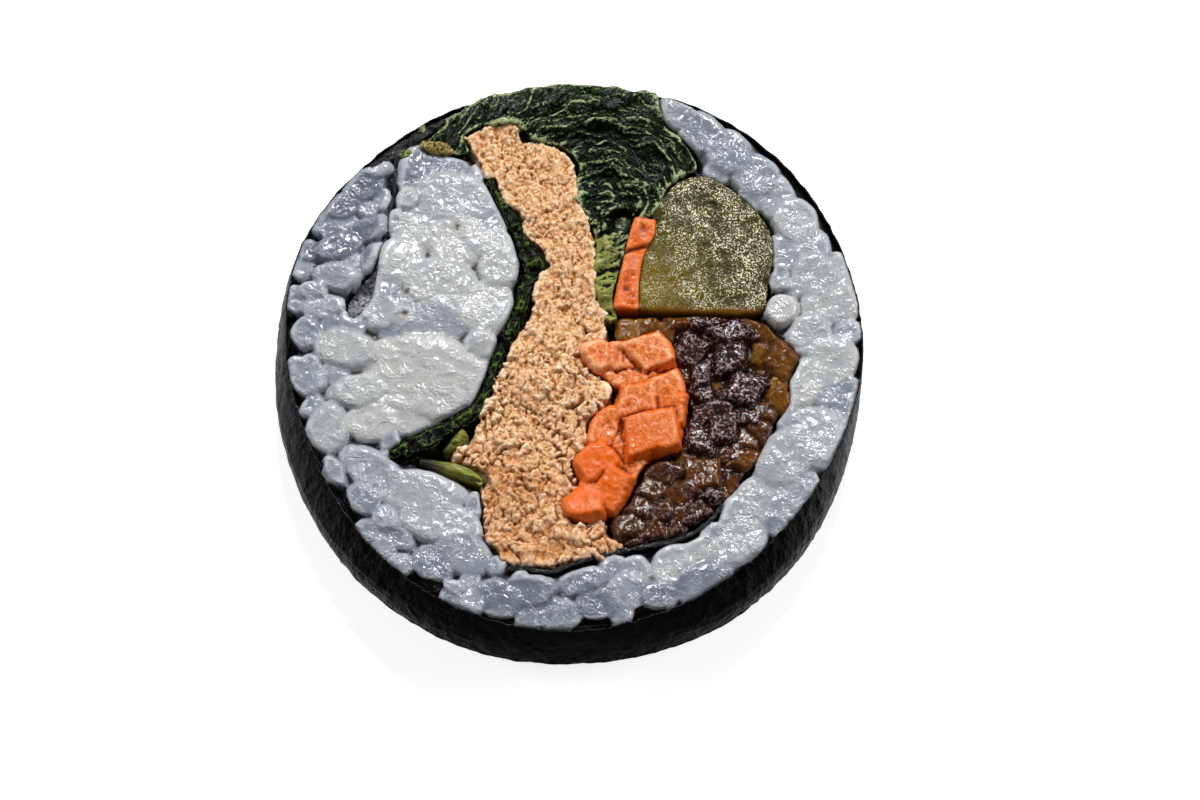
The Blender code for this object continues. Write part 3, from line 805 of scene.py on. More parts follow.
# Each leaf's first colour is painted shade and its third a painted highlight; the last is the yellowed leaf's
# own colour.
SPINACH = wet_leaf("blanched_spinach", (1, 5, 0), (19, 38, 9), (166, 178, 132), (142, 144, 72))
PERILLA = wet_leaf("perilla", (1, 3, 1), (9, 18, 5), (80, 110, 38), (84, 98, 34))
SCRAP = wet_leaf("yellowed_leaf", (62, 48, 18), (140, 120, 66), (200, 184, 126), (172, 148, 84))
PICKLE = pickled()
CARROT = cooked_carrot()
BURDOCK = braised()
STEM = leaf_stem()

WALL = Wall()


# Rice

# Grains that show, measured on the cut face: X, Y, length, width, turn in degrees, and how white each is
RING_GRAINS = (
    (-17.4, 17.7, 2.2, 1.5, 22, 0.2), (-18.9, 16.2, 4.2, 2.8, 37, 0.1), (-20.7, 14.1, 3.1, 2.6, 43, 0.1),
    (-22.4, 13.0, 3.3, 1.7, 55, 0.2), (-18.3, 12.1, 4.5, 2.3, 22, 0.2), (-21.2, 10.4, 4.4, 2.7, 16, 0.15),
    (-23.6, 10.0, 2.1, 2.3, 0, 0.1), (-18.2, 9.3, 3.2, 2.2, 62, 0.2), (-21.2, 7.6, 4.4, 2.7, -9, 0.45),
    (-23.2, 6.2, 2.5, 1.9, 0, 0.4), (-22.3, 4.7, 4.2, 2.5, 6, 0.45), (-23.8, 2.3, 3.1, 2.9, 63, 0.4),
    (-20.2, 0.7, 5.7, 3.6, -15, 0.75), (-23.3, -2.3, 2.6, 3.2, 91, 0.35), (-19.3, -3.2, 4.9, 3.0, 9, 0.7),
    (-21.7, -6.6, 3.7, 4.7, 0, 0.6), (-17.8, -6.0, 4.9, 3.5, -6, 0.8), (-17.7, -10.4, 6.6, 3.4, -33, 0.55),
    (-21.1, -10.6, 3.1, 1.9, -61, 0.4), (-18.6, -13.0, 3.6, 2.9, -36, 0.35),
    (-13.7, -12.4, 8.0, 4.2, -8, 0.65), (-16.5, -14.9, 2.9, 2.3, -41, 0.4),
    (-11.9, -15.2, 7.3, 3.8, -11, 0.65), (-15.7, -16.4, 3.9, 2.2, -36, 0.35),
    (-12.5, -18.9, 4.2, 3.4, -31, 0.3), (-9.8, -17.8, 5.5, 3.8, -36, 0.4),
    (-10.6, -21.0, 2.1, 1.4, -21, 0.45), (-6.7, -22.0, 4.4, 3.4, -21, 0.25),
    (-8.8, -22.3, 2.4, 2.5, 0, 0.4), (-1.7, -23.3, 4.5, 3.1, 0, 0.2), (-4.2, -21.4, 5.2, 3.1, 5, 0.25),
    (-4.8, -20.0, 1.7, 1.3, 11, 0.5), (0.6, -20.5, 5.2, 2.5, 15, 0.3), (4.3, -21.4, 4.0, 3.3, 5, 0.45),
    (7.0, -21.8, 2.5, 3.5, 90, 0.15), (1.7, -22.5, 3.8, 3.1, 0, 0.25), (8.2, -19.1, 4.5, 3.4, 51, 0.6),
    (10.7, -17.8, 4.9, 2.4, 19, 0.75), (10.6, -20.5, 5.8, 2.9, 23, 0.35), (13.8, -17.3, 5.7, 3.4, 36, 0.5),
    (14.9, -13.7, 5.6, 4.4, 51, 0.5), (17.5, -11.6, 4.1, 3.4, 41, 0.5), (18.1, -9.2, 5.5, 4.1, 51, 0.6),
    (20.9, -7.4, 5.2, 5.3, 70, 0.65), (19.6, -2.4, 5.0, 3.8, 51, 0.75), (22.1, -0.2, 4.9, 4.2, 80, 0.65),
    (20.2, 2.2, 4.0, 3.7, 31, 0.65), (21.3, 4.9, 4.5, 3.9, 61, 0.65), (18.8, 6.4, 2.7, 2.3, 0, 0.5),
    (8.8, 23.3, 4.0, 2.5, -37, 0.3), (11.1, 21.4, 4.2, 3.2, -40, 0.35), (13.4, 19.4, 4.2, 3.6, -45, 0.4),
    (15.6, 17.3, 4.2, 3.5, -48, 0.4), (17.5, 15.2, 4.1, 3.5, -53, 0.5), (19.2, 12.9, 4.3, 3.5, -62, 0.55),
    (20.3, 10.4, 4.3, 3.6, -67, 0.55), (20.8, 7.7, 4.2, 3.9, -81, 0.6), (22.9, 5.3, 3.8, 3.9, -86, 0.6),
    (23.1, 8.1, 3.8, 2.3, -77, 0.55),
)
LOBE_GRAINS = (
    (-13.2, 18.1, 6.6, 2.3, 0, 0.3), (-14.9, 16.8, 2.7, 2.4, 72, 0.2), (-15.1, 14.9, 2.1, 2.3, 0, 0.6),
    (-16.1, 13.4, 1.2, 1.2, 0, 0.6), (-10.9, 15.2, 7.5, 4.6, -9, 0.6), (-14.0, 12.1, 5.4, 4.7, 32, 0.7),
    (-10.6, 11.0, 5.3, 4.8, -11, 0.7), (-7.8, 11.0, 3.2, 5.6, 62, 0.65), (-6.9, 8.3, 3.5, 3.8, 0, 0.7),
    (-15.7, 8.9, 4.5, 4.7, 42, 0.65), (-12.2, 6.7, 6.2, 4.8, 0, 0.7), (-8.2, 4.5, 5.3, 4.9, 11, 0.65),
    (-16.8, 6.8, 4.0, 3.2, 42, 0.6), (-17.3, 4.1, 3.6, 3.7, 91, 0.65), (-12.8, 3.2, 6.4, 4.0, 2, 0.45),
    (-15.5, 3.6, 2.3, 2.1, 0, 0.6), (-8.4, 1.1, 2.4, 2.7, 81, 0.6), (-13.8, -0.9, 9.7, 5.6, -5, 0.9),
    (-9.6, -2.1, 5.2, 4.5, 62, 0.75), (-12.0, -3.9, 4.4, 3.4, 21, 0.8), (-15.1, -5.2, 6.2, 3.7, -13, 0.8),
    (-16.1, 2.3, 2.7, 1.9, -11, 0.35),
)
# The grain that stands free, with its rise, and the moat round it: how far from its middle and how wide
ROUND_GRAIN = (17.9, 4.4, 3.0, 3.2, 0, 0.85, 0.4)
MOAT = (1.75, 0.22)
# Smaller grains between them: length, width, how white and rise
SMALL_GRAIN = (2.7, 2.1, 0.4, -0.2)
# Where grains lie looser, with deeper seams between them: place, reach, how much
RICE_LOOSE = (
    ((-21.5, 11.0), 8.0, 0.9), ((-22.5, 2.0), 5.0, 0.9), ((-21.0, -13.0), 8.5, 0.9),
    ((-12.0, -20.5), 6.0, 0.8), ((0.0, -24.0), 10.0, 0.95), ((18.4, 4.4), 3.2, 0.9),
    ((-15.9, 4.5), 2.6, 0.6), ((-15.5, 15.5), 1.8, 0.7),
)
# Where the rice inside the fold swells up: place, reach, how far
RICE_SWELL = (((-12.5, 4.0), 8.5, 0.7),)
PITS = ((-10.7, 12.0), (-15.1, 6.0), (-15.2, 3.6))
# Where the sheet's inner end lies open to view between the grains
RECESS = (-19.0, 5.4)


def rice():
    rng = np.random.default_rng(21)
    listed = [(*grain, rng.uniform(-0.2, 0.2)) for grain in RING_GRAINS + LOBE_GRAINS]
    heap = Heap(filled_in(listed + [ROUND_GRAIN], outline("rice"), SMALL_GRAIN, rng), rng, 0.11)
    skin = slab("rice", 0.15, rounds=2)
    crowd(skin, "nori_inner_end", 0.3 * (1 - near(skin.co, RECESS, 2.4)))
    crowd(skin, "nori_liner", 0.3)
    loose = np.clip(swells(skin.co, RICE_LOOSE) + 0.5 * (cloud(skin.co, 4.5, 2, 44) - 0.4), 0.0, 1.0)
    flat = warped(skin.co, 1.6, 0.5, 40)
    height, owner = heap.lay(flat, grain_top, 1.16 - 0.12 * loose, 0.34 - 0.28 * loose)
    out = np.linalg.norm(flat[:, :2] - ROUND_GRAIN[:2], axis=1)
    moat = np.exp(-(((out - MOAT[0]) / MOAT[1]) ** 2))
    height = height - 0.8 * moat * smooth(ROUND_GRAIN[0] + 0.6 - flat[:, 0], -0.8, 0.4)
    pits = sum(near(warped(skin.co, 0.5, 0.9, 66), spot, 0.28) for spot in PITS)
    uneven = 0.24 * (cloud(skin.co, 1.9, 3, 3) - 0.5)
    uneven += 0.18 * (creases(warped(skin.co, 1.5, 1.0, 7), 0.8, 3, 5) - 0.5)
    low = smooth(-height, 0.25, 0.9)
    bulk = swells(skin.co, RICE_SWELL)
    skin.notch(0.6 * low * (1 - smooth(skin.polar()[1], 22.0, 24.0)))
    skin.lift(np.maximum(height, -1.4) + bulk + uneven - 0.4 * pits)
    follow_wall(skin, (0.3 + 0.6 * loose) * low)
    skin.soften(1)
    skin.relief(1.2, 1.5)
    tones = heap.tones[owner] + rng.uniform(-0.1, 0.1, len(heap.tones))[owner]
    skin.tone("tone", skin.eased(tones, 5))
    # The gap attribute marks the low seams for painted shade near black.
    skin.tone("gap", smooth(-height, 0.5, 1.0))
    skin.tone("stain", pits * 0.8)
    skin.finish("rice_grains", RICE, "rice", "rice")
    under_part("rice", RICE, "rice", 31)


def follow_wall(skin, notch, gap=0.2):
    """Moves a layer's outer side to lie against the sheet, pulled back by a notch between grains."""
    angle, radius = skin.polar()
    section = WALL.at(angle, np.full(len(angle), SECTION_HEIGHT)) - 0.7 + TOUCH
    here = WALL.at(angle, np.minimum(skin.co[:, 2], 9.2)) - gap
    share = smooth(radius, section - 2.5, section - 0.1)
    moved = radius + share * (here - section - notch)
    skin.co[:, :2] *= np.minimum(moved, here)[:, None] / radius[:, None]


# Tuna, leaves and pickle

# Flakes of three sizes: size, turn, how high they stand, how much higher at the lower end, and seed
FLAKES = ((1.5, 1.9, 0.2, 0.3, 20), (0.75, 1.2, 0.2, 0.15, 24), (0.4, 2.4, 0.22, 0.0, 28))
# The spinach's folds run in arcs round its heart. It has a hollow over the carrot stick, sunk and painted
# dark with shade, and a fold beside it painted lighter as a highlight, each given by place and reach. It
# hangs over the sheet from the first pair of directions, in degrees, where that begins and is full, to the
# second pair, where it begins to end and has ended
HEART = (2.0, 13.0)
HOLLOW = ((3.9, 13.2), 0.9)
BRIGHT_FOLD = ((4.4, 15.2), 1.8)
OVERHANG = ((70, 77), (108, 116))
# The pale strip of spinach beside the tuna: the X of its middle, and the Ys where it fades and is gone
PALE_STRIP = (2.4, (10.5, 13.0))
# The pickle's yellower corner, by place and reach, and the Y of its brown lower edge
SOUR_CORNER = ((6.0, 6.5), 4.5)
PICKLE_EDGE = 4.5


def tuna():
    skin = slab("tuna_mayo", 0.1, ragged=1.0)
    crowd(skin, "nori_liner", 0.3)
    place = warped(skin.co, 0.7, 0.7, 70)
    lower = smooth(-skin.co[:, 1] + 4 * (cloud(skin.co, 4.0, 2, 3) - 0.5), -6.0, 6.0)
    lift = 0.75 * (cloud(turned(skin.co, 1.75, 1.7), 2.6, 2, 9) - 0.5)
    lift += 0.5 * (cloud(skin.co, 0.9, 3, 11) - 0.5)
    for size, turn, high, higher, seed in FLAKES:
        own, seam = crumbs(turned(warped(place, size, 0.7 * size, seed), turn, 1.35), size, seed)
        crack = 1 - smooth(seam, 0.0, 0.06 + 0.04 * size)
        open_crack = crack * smooth(cloud(skin.co, 1.6, 2, seed + 3), 0.45, 0.65)
        lift += (high + higher * lower) * ((own - 0.5) * (1 - crack) - open_crack)
    skin.notch(0.8 * smooth(-lift, 0.0, 0.4))
    skin.lift(lift)
    skin.soften(1, 0.3)
    skin.swell(0.2 * (cloud(skin.co, 0.4, 2, 8) - 0.5))
    skin.relief(0.7, 1.4)
    skin.tone("tone", cloud(skin.co, 3.0, 3, 9) * 0.75 + 0.3 * smooth(-skin.co[:, 1], 4.0, 14.0))
    skin.finish("tuna_flakes", TUNA, "tuna_mayo", "tuna")
    under_part("tuna_mayo", TUNA, "tuna", 32)


def spinach():
    skin = slab("spinach", 0.095, rounds=3, ragged=0.6)
    broad = 1 - creases(swirled(warped(skin.co, 3.5, 5.0, 1), HEART, 2.0), 2.4, 1, 4)
    middle = creases(swirled(warped(skin.co, 2.4, 3.0, 8), HEART, 1.5), 1.1, 2, 14)
    fine = creases(swirled(warped(skin.co, 1.6, 1.6, 18), HEART, 1.1), 0.45, 2, 24)
    hollow = near(skin.co, *HOLLOW)
    angle, radius = skin.polar()
    (start, full), (still, end) = OVERHANG
    over = smooth(np.degrees(angle), start, full) * smooth(-np.degrees(angle), -end, -still)
    rim = WALL.at(angle, np.full(len(angle), SECTION_HEIGHT))
    calm = 1 - 0.5 * smooth(radius, rim - 2.5, rim - 0.5)
    skin.lift(calm * (1.2 * (broad - 0.5) + 0.6 * (middle - 0.5) + 0.45 * (fine - 0.5)) - 0.1 - 2.2 * hollow)
    push = over * smooth(radius, rim - 2.2, rim - 0.7) * smooth(skin.co[:, 2], 7.8, 8.6)
    skin.co[:, :2] *= (1 + push * (0.55 + 0.4 * middle) / radius)[:, None]
    skin.co[:, 2] -= 0.4 * push
    skin.soften(1, 0.3)
    x, (low, high) = PALE_STRIP
    strip = smooth(-abs(skin.co[:, 0] - x), -2.2, -0.6) * smooth(-skin.co[:, 1], -high, -low)
    beside = np.exp(-distance(skin.co, outline("tuna_mayo")) / 0.6)
    bright = near(skin.co, *BRIGHT_FOLD) * middle
    # Painted shade in the hollow and a painted highlight on the fold beside it; the pale strip is lifted a
    # little with them.
    skin.relief(1.1, 3.2, 0.14 * strip + 0.2 * bright - 0.7 * hollow)
    old = cloud(skin.co, 2.2, 2, 6) * 0.5 + 0.6 * strip + 0.5 * beside * cloud(skin.co, 1.2, 1, 77)
    skin.tone("tone", old)
    skin.finish("spinach_folds", SPINACH, "spinach", "spinach")
    under_part("spinach", SPINACH, "spinach", 33)


def pickle():
    skin = slab("pickle", 0.14, rounds=5)
    skin.lift(0.25 * (cloud(skin.co, 3.0, 3, 2) - 0.4) + 0.14 * (creases(skin.co, 0.6, 2, 6) - 0.5))
    skin.relief(1.0, 0.8)
    above_edge = skin.co[:, 1] - PICKLE_EDGE + 0.5 * cloud(skin.co, 1.5, 2, 5)
    skin.tone("tone", above_edge / 1.2)
    skin.tone("stain", near(skin.co, *SOUR_CORNER))
    skin.finish("pickle_face", PICKLE, "pickle", "pickle")
    under_part("pickle", PICKLE, "pickle", 34)


# Carrot and burdock

# Carrot pieces that show: X, Y, length, width, turn in degrees, how bright an orange, and rise
CARROT_CUTS = (
    (2.6, 0.1, 4.6, 2.8, 5, 0.15, 0.0), (6.5, 0.3, 3.4, 3.2, 20, 0.35, 0.35),
    (5.1, -2.1, 3.1, 2.6, 40, 0.3, -0.1), (7.7, -3.0, 3.5, 2.4, 25, 0.5, 0.1),
    (5.3, -4.2, 3.5, 2.8, 10, 0.4, 0.2), (8.2, -5.0, 3.5, 2.8, 80, 0.6, 0.0),
    (6.5, -7.2, 4.6, 3.4, 15, 0.65, 0.35), (2.5, -6.3, 4.4, 2.3, 70, 0.5, 0.0),
    (1.6, -9.8, 3.3, 2.8, 35, 0.95, 0.25), (4.0, -9.5, 4.0, 2.5, -50, 0.35, -0.25),
    (0.6, -13.4, 3.6, 3.2, 10, 0.9, 0.2), (3.0, -12.4, 3.8, 2.6, 65, 0.8, 0.1),
    (2.2, -1.9, 2.8, 1.7, 30, 0.3, -0.3),
)
SMALL_CARROT = (1.8, 1.5, 0.4, -0.3)
# Burdock pieces that show: X, Y, length, width, turn in degrees, how amber, and rise
BURDOCK_CUTS = (
    (4.5, 2.6, 2.5, 1.9, 81, 0.75, -0.1), (6.2, 3.3, 1.9, 1.7, 11, 0.6, -0.2),
    (7.3, 2.3, 1.9, 2.1, 80, 0.6, -0.2), (8.8, 3.5, 2.1, 1.3, 11, 0.5, 0.0),
    (10.7, 3.5, 1.9, 1.4, 0, 0.15, 0.1), (12.5, 3.5, 1.8, 1.4, 11, 0.2, -0.1),
    (13.6, 2.2, 2.5, 2.0, 21, 0.05, 0.4), (15.4, 2.6, 2.1, 2.3, 80, 0.45, -0.2),
    (16.8, 2.0, 1.7, 1.8, 61, 0.55, -0.1), (9.9, 0.7, 2.4, 2.0, 61, 0.15, 0.2),
    (11.6, 1.5, 1.8, 1.7, 0, 0.5, -0.4), (13.4, -0.1, 2.1, 2.2, 11, 0.05, 0.35),
    (15.2, 0.4, 1.8, 1.7, 0, 0.45, -0.35), (16.2, 0.4, 1.5, 1.7, 0, 0.7, -0.1),
    (17.7, -0.2, 2.5, 2.2, 61, 0.6, 0.3), (10.8, -1.7, 1.3, 1.4, 21, 0.1, 0.3),
    (9.4, -1.5, 1.5, 1.8, 80, 0.35, -0.3), (12.7, -2.4, 2.3, 1.3, 0, 0.85, -0.45),
    (11.1, -3.3, 1.3, 1.4, 0, 0.1, 0.1), (14.6, -3.1, 2.5, 2.4, -21, 0.05, 0.5),
    (15.7, -2.4, 1.2, 1.1, 0, 0.1, 0.2), (16.6, -1.7, 1.6, 1.3, 0, 0.55, -0.3),
    (17.6, -2.6, 1.8, 1.7, 0, 0.75, -0.1), (17.7, -4.0, 1.7, 2.1, 80, 0.65, 0.1),
    (10.1, -4.1, 1.5, 2.1, 80, 0.35, -0.5), (12.6, -4.7, 1.1, 1.8, -72, 0.05, 0.2),
    (11.1, -5.2, 1.9, 1.7, 21, 0.2, 0.1), (13.8, -5.1, 1.2, 1.3, 0, 0.2, -0.4),
    (15.1, -5.3, 2.1, 1.9, 0, 0.15, 0.1), (16.5, -4.9, 1.4, 1.5, 0, 0.5, 0.0),
    (10.9, -7.7, 2.3, 2.2, -21, 0.1, 0.3), (12.7, -6.6, 2.1, 2.2, 11, 0.1, 0.4),
    (9.9, -6.4, 1.4, 1.7, 0, 0.6, -0.3), (14.7, -7.3, 1.9, 2.0, 0, 0.45, -0.2),
    (16.0, -6.6, 1.6, 2.0, 51, 0.4, 0.0), (9.3, -9.1, 2.4, 1.9, 0, 0.55, -0.3),
    (13.2, -8.8, 1.9, 1.9, 0, 0.3, 0.0), (14.7, -9.4, 1.8, 2.3, 61, 0.5, 0.0),
    (7.6, -10.5, 2.6, 1.8, -21, 0.35, 0.0), (6.4, -12.1, 2.5, 1.7, -21, 0.4, -0.1),
    (9.3, -12.4, 2.3, 1.8, 31, 0.4, 0.1), (11.0, -10.8, 2.8, 2.6, 0, 0.5, 0.15),
    (12.5, -10.8, 1.3, 1.7, 80, 0.2, 0.0), (11.7, -12.6, 1.0, 1.3, 61, 0.0, 0.2),
    (13.2, -12.1, 1.8, 2.3, 51, 0.45, -0.1), (5.5, -13.8, 2.3, 1.6, -31, 0.4, 0.0),
    (7.3, -14.2, 2.1, 1.6, 21, 0.3, 0.2), (9.1, -14.4, 2.3, 1.6, 21, 0.25, 0.1),
    (10.5, -14.0, 1.9, 1.4, 31, 0.3, -0.1), (4.5, -15.3, 2.3, 1.8, 11, 0.4, 0.0),
    (6.3, -15.8, 2.3, 1.6, 11, 0.3, 0.0), (8.2, -15.8, 2.1, 1.3, 16, 0.3, -0.1),
)
SMALL_BURDOCK = (1.5, 1.3, 0.45, -0.45)
# A nick across the carrot stick: its Y where X is 5, its slope and its half width
NICK = (10.0, 0.3, 0.2)


def carrots():
    rng = np.random.default_rng(3)
    heap = Heap(filled_in(CARROT_CUTS, outline("carrots"), SMALL_CARROT, rng, 0.9), rng, 0.24)
    heap.rises *= 1.8
    heap.lengths, heap.widths = 0.93 * heap.lengths, 0.93 * heap.widths
    skin = slab("carrots", 0.11, FACE_HEIGHT - 0.1, grow=0.3, ragged=0.4)
    height, owner = heap.lay(warped(skin.co, 1.6, 0.9, 90), cube_top, 2.0, 0.04)
    skin.notch(0.8 * smooth(-height, 0.2, 0.9))
    skin.lift(0.25 + np.maximum(height, -1.4))
    skin.soften(1)
    skin.swell(0.24 * (creases(warped(skin.co, 1.0, 0.6, 3), 0.7, 3, 5) - 0.5))
    skin.relief(1.2, 1.6)
    # The tone also deepens the orange on steep sides as painted shade, and the gap attribute marks the seams
    # for painted shade.
    steep = 1 - skin.eased(skin.normals()[:, 2], 3)
    blotch = 0.5 * (cloud(skin.co, 1.4, 2, 9) - 0.5)
    skin.tone("tone", skin.eased(heap.tones[owner], 3) + blotch + 0.9 * steep - 0.1)
    skin.tone("gap", smooth(-height, 0.5, 1.1))
    skin.finish("carrot_cuts", CARROT, "carrots", "carrot")
    under_part("carrots", CARROT, "carrot", 35)


def carrot_stick():
    skin = slab("carrot_stick", 0.11, FACE_HEIGHT + 0.1, rounds=3)
    y, slope, width = NICK
    nick = np.exp(-(((skin.co[:, 1] - y - slope * (skin.co[:, 0] - 5.0)) / width) ** 2))
    rough = 0.35 * (cloud(skin.co, 1.2, 3, 2) - 0.5) + 0.2 * (creases(skin.co, 0.7, 2, 4) - 0.5)
    skin.lift(rough - 0.45 * nick)
    skin.relief(1.2, 1.6, -0.14)
    skin.tone("tone", 0.45 + 0.4 * cloud(skin.co, 2.0, 2, 4))
    skin.finish("carrot_stick_face", CARROT, "carrot_stick", "carrot")
    under_part("carrot_stick", CARROT, "carrot", 36)


def burdock():
    rng = np.random.default_rng(9)
    heap = Heap(filled_in(BURDOCK_CUTS, outline("burdock"), SMALL_BURDOCK, rng, 0.4), rng, 0.3)
    heap.rises *= 1.5
    skin = slab("burdock", 0.095, FACE_HEIGHT - 0.45, ragged=0.4)
    crowd(skin, "nori_liner", 0.3)
    height, owner = heap.lay(warped(skin.co, 1.2, 0.6, 13), cube_top, 1.8, 0.08)
    skin.notch(0.5 * smooth(-height, 0.2, 0.9))
    skin.lift(0.2 + np.maximum(height, -1.5))
    skin.soften(1)
    skin.swell(0.2 * (creases(warped(skin.co, 1.0, 0.7, 13), 0.7, 3, 15) - 0.5))
    skin.relief(1.0, 1.6)
    skin.tone("tone", skin.eased(heap.tones[owner], 2) + 0.25 * (cloud(skin.co, 1.2, 2, 2) - 0.5))
    # The gap attribute marks the low gaps for painted shade.
    skin.tone("gap", smooth(-height, 0.45, 1.05))
    skin.finish("burdock_cuts", BURDOCK, "burdock", "burdock")
    under_part("burdock", BURDOCK, "burdock", 37)


# Sheets on edge, stems and scraps

# Where the sheet's inner end is sunk and painted pale as a sheen: place, reach, how deep
SUNK_END = (((-19.0, 5.7), 1.7, 1.3),)
# Stems as a line from where they come out to their cut end, how thick they are on the way, and the X up to
# which they are painted dark with shade
LOWER_STEM = (
    ((-13.6, -9.5, 8.9), (-12.2, -10.0, 9.2), (-10.6, -10.5, 9.4), (-9.2, -11.0, 9.4), (-8.2, -11.5, 9.3)),
    (0.3, 0.8, 1.1, 0.9, 0.4),
    -13.0,
)
UPPER_STEM = (((-11.5, -8.8, 8.8), (-10.7, -8.1, 9.2), (-9.7, -7.1, 9.4)), (0.5, 0.9, 0.9), -12.0)
# Scraps on the lap of the sheet beside the spinach: place, turn, and length, width and height
SCRAPS = (
    ((-12.3, 19.7, 9.3), -0.15, (2.6, 1.1, 0.9)),
    ((-13.6, 20.1, 9.2), 0.9, (0.9, 0.6, 0.6)),
    ((-15.2, 19.2, 9.2), 0.2, (1.3, 0.6, 0.5)),
    ((-13.9, 21.3, 9.1), 1.3, (1.5, 0.5, 0.5)),
)


def leaf_edge(node, voxel, grow, tear, seed, sunk=()):
    """A sheet seen on edge, crumpled and torn a little along the cut, and sunk at some spots."""
    skin = slab(node, voxel, FACE_HEIGHT - 0.1, grow, 1)
    crowd(skin, "nori_wrap", 0.3)
    rough = creases(skin.co * (1, 1, 0.4), 0.8, 3, seed)
    skin.swell(smooth(skin.co[:, 2], 7.0, 8.5) * tear * (rough - 0.5))
    skin.lift(0.9 * (cloud(skin.co * (1, 1, 0), 0.9, 3, seed + 1) - 0.5))
    skin.lift(-swells(skin.co, sunk))
    skin.relief(1.6, 1.6)
    return skin


def perilla_leaf():
    skin = leaf_edge("perilla_leaf", 0.1, -0.12, 0.6, 41)
    skin.tone("tone", cloud(skin.co, 1.2, 2, 43) + 0.05)
    skin.finish("perilla_leaf_edge", PERILLA, "perilla_leaf", "perilla")
    under_part("perilla_leaf", PERILLA, "perilla", 44)


def inner_sheet(node, voxel, grow, tear, seed, sunk=()):
    skin = leaf_edge(node, voxel, grow, tear, seed, sunk)
    # The sunk spots are marked for a painted sheen in pale grey-violet.
    skin.tone("tone", swells(skin.co, [(place, reach, 1.0) for place, reach, _ in sunk]))
    skin.finish(f"{node}_edge", DAMP_SEAWEED, node, "seaweed_inner")
    under_part(node, DAMP_SEAWEED, "seaweed_inner", seed + 3)


def stem(node, places, widths, dark_end):
    """A stem along a line that ends in a cut, painted dark with shade where it comes out from between the
    fillings.
    """
    curve = bpy.data.curves.new(node, "CURVE")
    curve.dimensions = "3D"
    curve.bevel_depth = 1.0
    curve.bevel_resolution = 4
    curve.use_fill_caps = True
    line = curve.splines.new("NURBS")
    line.points.add(len(places) - 1)
    line.use_endpoint_u = True
    line.order_u = 3
    line.resolution_u = 8
    for knot, place, width in zip(line.points, places, widths):
        knot.co = (*place, 1.0)
        knot.radius = width / 2
    mesh = evaluated(bpy.data.objects.new(node, curve))
    bpy.data.curves.remove(curve)
    shape = bmesh.new()
    shape.from_mesh(mesh)
    bpy.data.meshes.remove(mesh)
    bmesh.ops.remove_doubles(shape, verts=shape.verts, dist=0.001)
    band(shape, node, BELOW, 8.6)
    skin = Skin(shape, 0.11)
    skin.soften(1)
    skin.widen(0.45)
    skin.swell(0.16 * (creases(turned(skin.co, -0.35, 4.0), 0.5, 2, 3) - 0.5))
    skin.rest()
    skin.tone("tone", smooth(skin.co[:, 0], dark_end, dark_end + 2.2))
    skin.finish(f"{node}_round", STEM, node, "stem")


def stray_scraps():
    for count, (place, turn, size) in enumerate(SCRAPS):
        shape = bmesh.new()
        matrix = Matrix.LocRotScale(Vector(place), Euler((0.1, 0.1, turn)), Vector(size))
        bmesh.ops.create_icosphere(shape, subdivisions=3, radius=0.5, matrix=matrix)
        skin = Skin(shape, 0.07)
        skin.swell(0.3 * (creases(skin.co, 0.6, 3, 3 + count) - 0.5))
        skin.relief(1.0, 1.0)
        skin.tone("tone", cloud(skin.co, 0.6, 2, 5))
        material = SPINACH if count else SCRAP
        skin.finish(f"stray_scrap_{count + 1}", material, "spinach", "spinach")


# The sheet round the roll


def rim_dip(angle):
    """How far the sheet's edge is pushed down where the spinach hangs over it."""
    start, width, deep = RIM_DIP
    share = np.clip((np.degrees(angle) - start) / width, 0, 1)
    return deep * np.sin(np.pi * share) ** 0.5


def wrap():
    """A cylinder's side moved out to the solid's own wall and crinkled."""
    shape = bmesh.new()
    bmesh.ops.create_cone(shape, cap_ends=False, segments=SHEET_SIDES, radius1=1.0, radius2=1.0, depth=1.0)
    upright_edges = [edge for edge in shape.edges if abs(edge.verts[0].co.z - edge.verts[1].co.z) > 0.5]
    bmesh.ops.subdivide_edges(shape, edges=upright_edges, cuts=SHEET_RINGS)
    skin = Skin(shape, None)
    angle, _ = skin.polar()
    share = skin.co[:, 2] + 0.5
    ragged = cloud(np.stack([np.cos(angle) * 26, np.sin(angle) * 26, angle * 0], axis=1), 1.4, 3, 5) - 0.5
    lip = smooth(share, 0.8, 1.0)
    z = SHEET_FOOT + share * (SHEET_TOP - SHEET_FOOT) + lip * (0.5 * ragged - rim_dip(angle))
    radius = sheet_reach(angle, z)
    skin.co = np.stack([radius * np.cos(angle), radius * np.sin(angle), z], axis=1)
    skin.tone("tone", np.zeros(len(z)))
    piece = skin.finish("nori_sheet", SEAWEED, "nori_wrap", "seaweed")
    wall = piece.modifiers.new("Sheet", "SOLIDIFY")
    wall.thickness = SHEET * 0.001
    wall.offset = -1.0


rice()
tuna()
spinach()
pickle()
carrots()
carrot_stick()
burdock()
perilla_leaf()
inner_sheet("nori_inner_end", 0.07, -0.03, 0.2, 51, SUNK_END)
inner_sheet("nori_liner", 0.08, -0.06, 0.25, 61)
stem("stem_lower", *LOWER_STEM)
stem("stem_upper", *UPPER_STEM)
stray_scraps()
wrap()


# The stage, in metres and watts

SOFTBOXES = (
    ("back_key", (0.04, 0.41, 0.49), (0.16, 0.12), 3.8),
    ("left_fill", (-0.55, 0.12, 0.4), (0.25, 0.25), 1.4),
    ("right_fill", (0.55, 0.12, 0.35), (0.25, 0.25), 1.6),
)
# The camera's lens in millimetres, its height over the table in degrees, how far away it is, and where it
# looks, in millimetres from the roll's axis
LENS, TILT, AWAY = 155.0, 70, 0.45
AIM = (2.0, -4.1, 9.5)


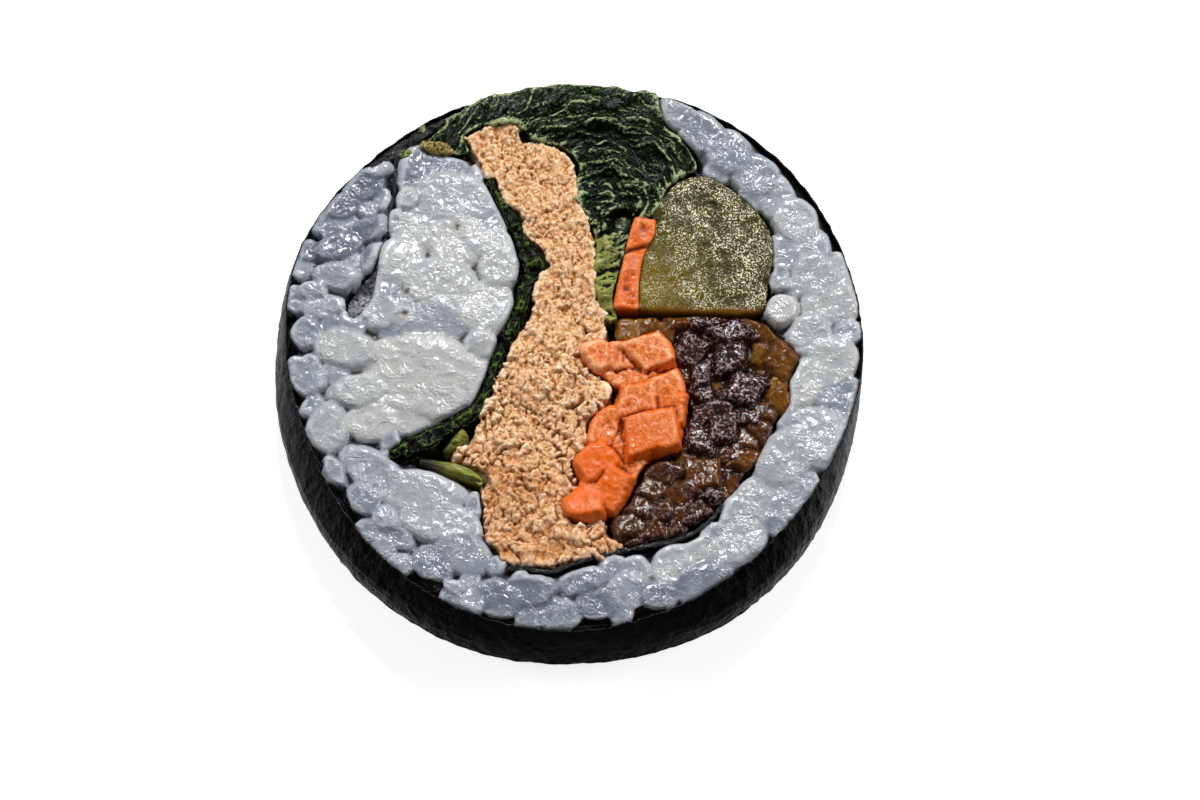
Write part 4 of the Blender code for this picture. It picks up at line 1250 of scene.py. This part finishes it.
def table_top():
    shape = bmesh.new()
    bmesh.ops.create_grid(shape, x_segments=1, y_segments=1, size=1.5)
    mesh = bpy.data.meshes.new("floor")
    shape.to_mesh(mesh)
    shape.free()
    floor = bpy.data.objects.new("floor", mesh)
    floor.visible_diffuse = False
    floor.visible_glossy = False
    bpy.context.scene.collection.objects.link(floor)
    finish = Finish(
        "white_floor",
        Roughness=0.9,
        Specular_IOR_Level=0.1,
        Base_Color=(0.5, 0.5, 0.5, 1),
        Emission_Color=(1, 1, 1, 1),
        Emission_Strength=0.8,
    )
    mesh.materials.append(finish.material)


def softbox(name, place, size, power):
    """A light that faces the middle of the table."""
    light = bpy.data.lights.new(name, "AREA")
    light.shape = "RECTANGLE"
    light.size, light.size_y = size
    light.energy = power
    lamp = bpy.data.objects.new(name, light)
    lamp.location = place
    lamp.rotation_euler = Vector(place).to_track_quat("Z", "Y").to_euler()
    bpy.context.scene.collection.objects.link(lamp)


def sky():
    """A room, pale overhead and dark below but for the table behind, which the sheet's sides mirror."""
    world = bpy.data.worlds.new("studio")
    world.use_nodes = True
    room = Nodes(world.node_tree)
    background = room.tree.nodes["Background"]
    background.inputs["Color"].default_value = (0.95, 0.97, 1.0, 1)
    direction = room.node("TexCoord", out="Generated")
    back, up = (room.node("SeparateXYZ", {}, {"Vector": direction}, axis) for axis in "YZ")
    behind = back.between(-0.15, 0.4, 0.03, 0.6) * up.between(-0.3, -0.8)
    strength = behind + up.between(-0.1, 0.9, 0.0, 0.2)
    room.tree.links.new(strength.socket, background.inputs["Strength"])
    bpy.context.scene.world = world


def stage():
    table_top()
    sky()
    for row in SOFTBOXES:
        softbox(*row)
    camera = bpy.data.cameras.new("camera")
    camera.lens = LENS
    camera.sensor_width = 36.0
    holder = bpy.data.objects.new("camera", camera)
    target = Vector((AXIS[0] + AIM[0], AXIS[1] + AIM[1], AIM[2])) * 0.001
    tilt = math.radians(TILT)
    holder.location = target + AWAY * Vector((0, -math.cos(tilt), math.sin(tilt)))
    holder.rotation_euler = (math.radians(90) - tilt, 0, 0)
    bpy.context.scene.collection.objects.link(holder)
    bpy.context.scene.camera = holder
    bpy.context.scene.view_settings.view_transform = "Standard"


stage()
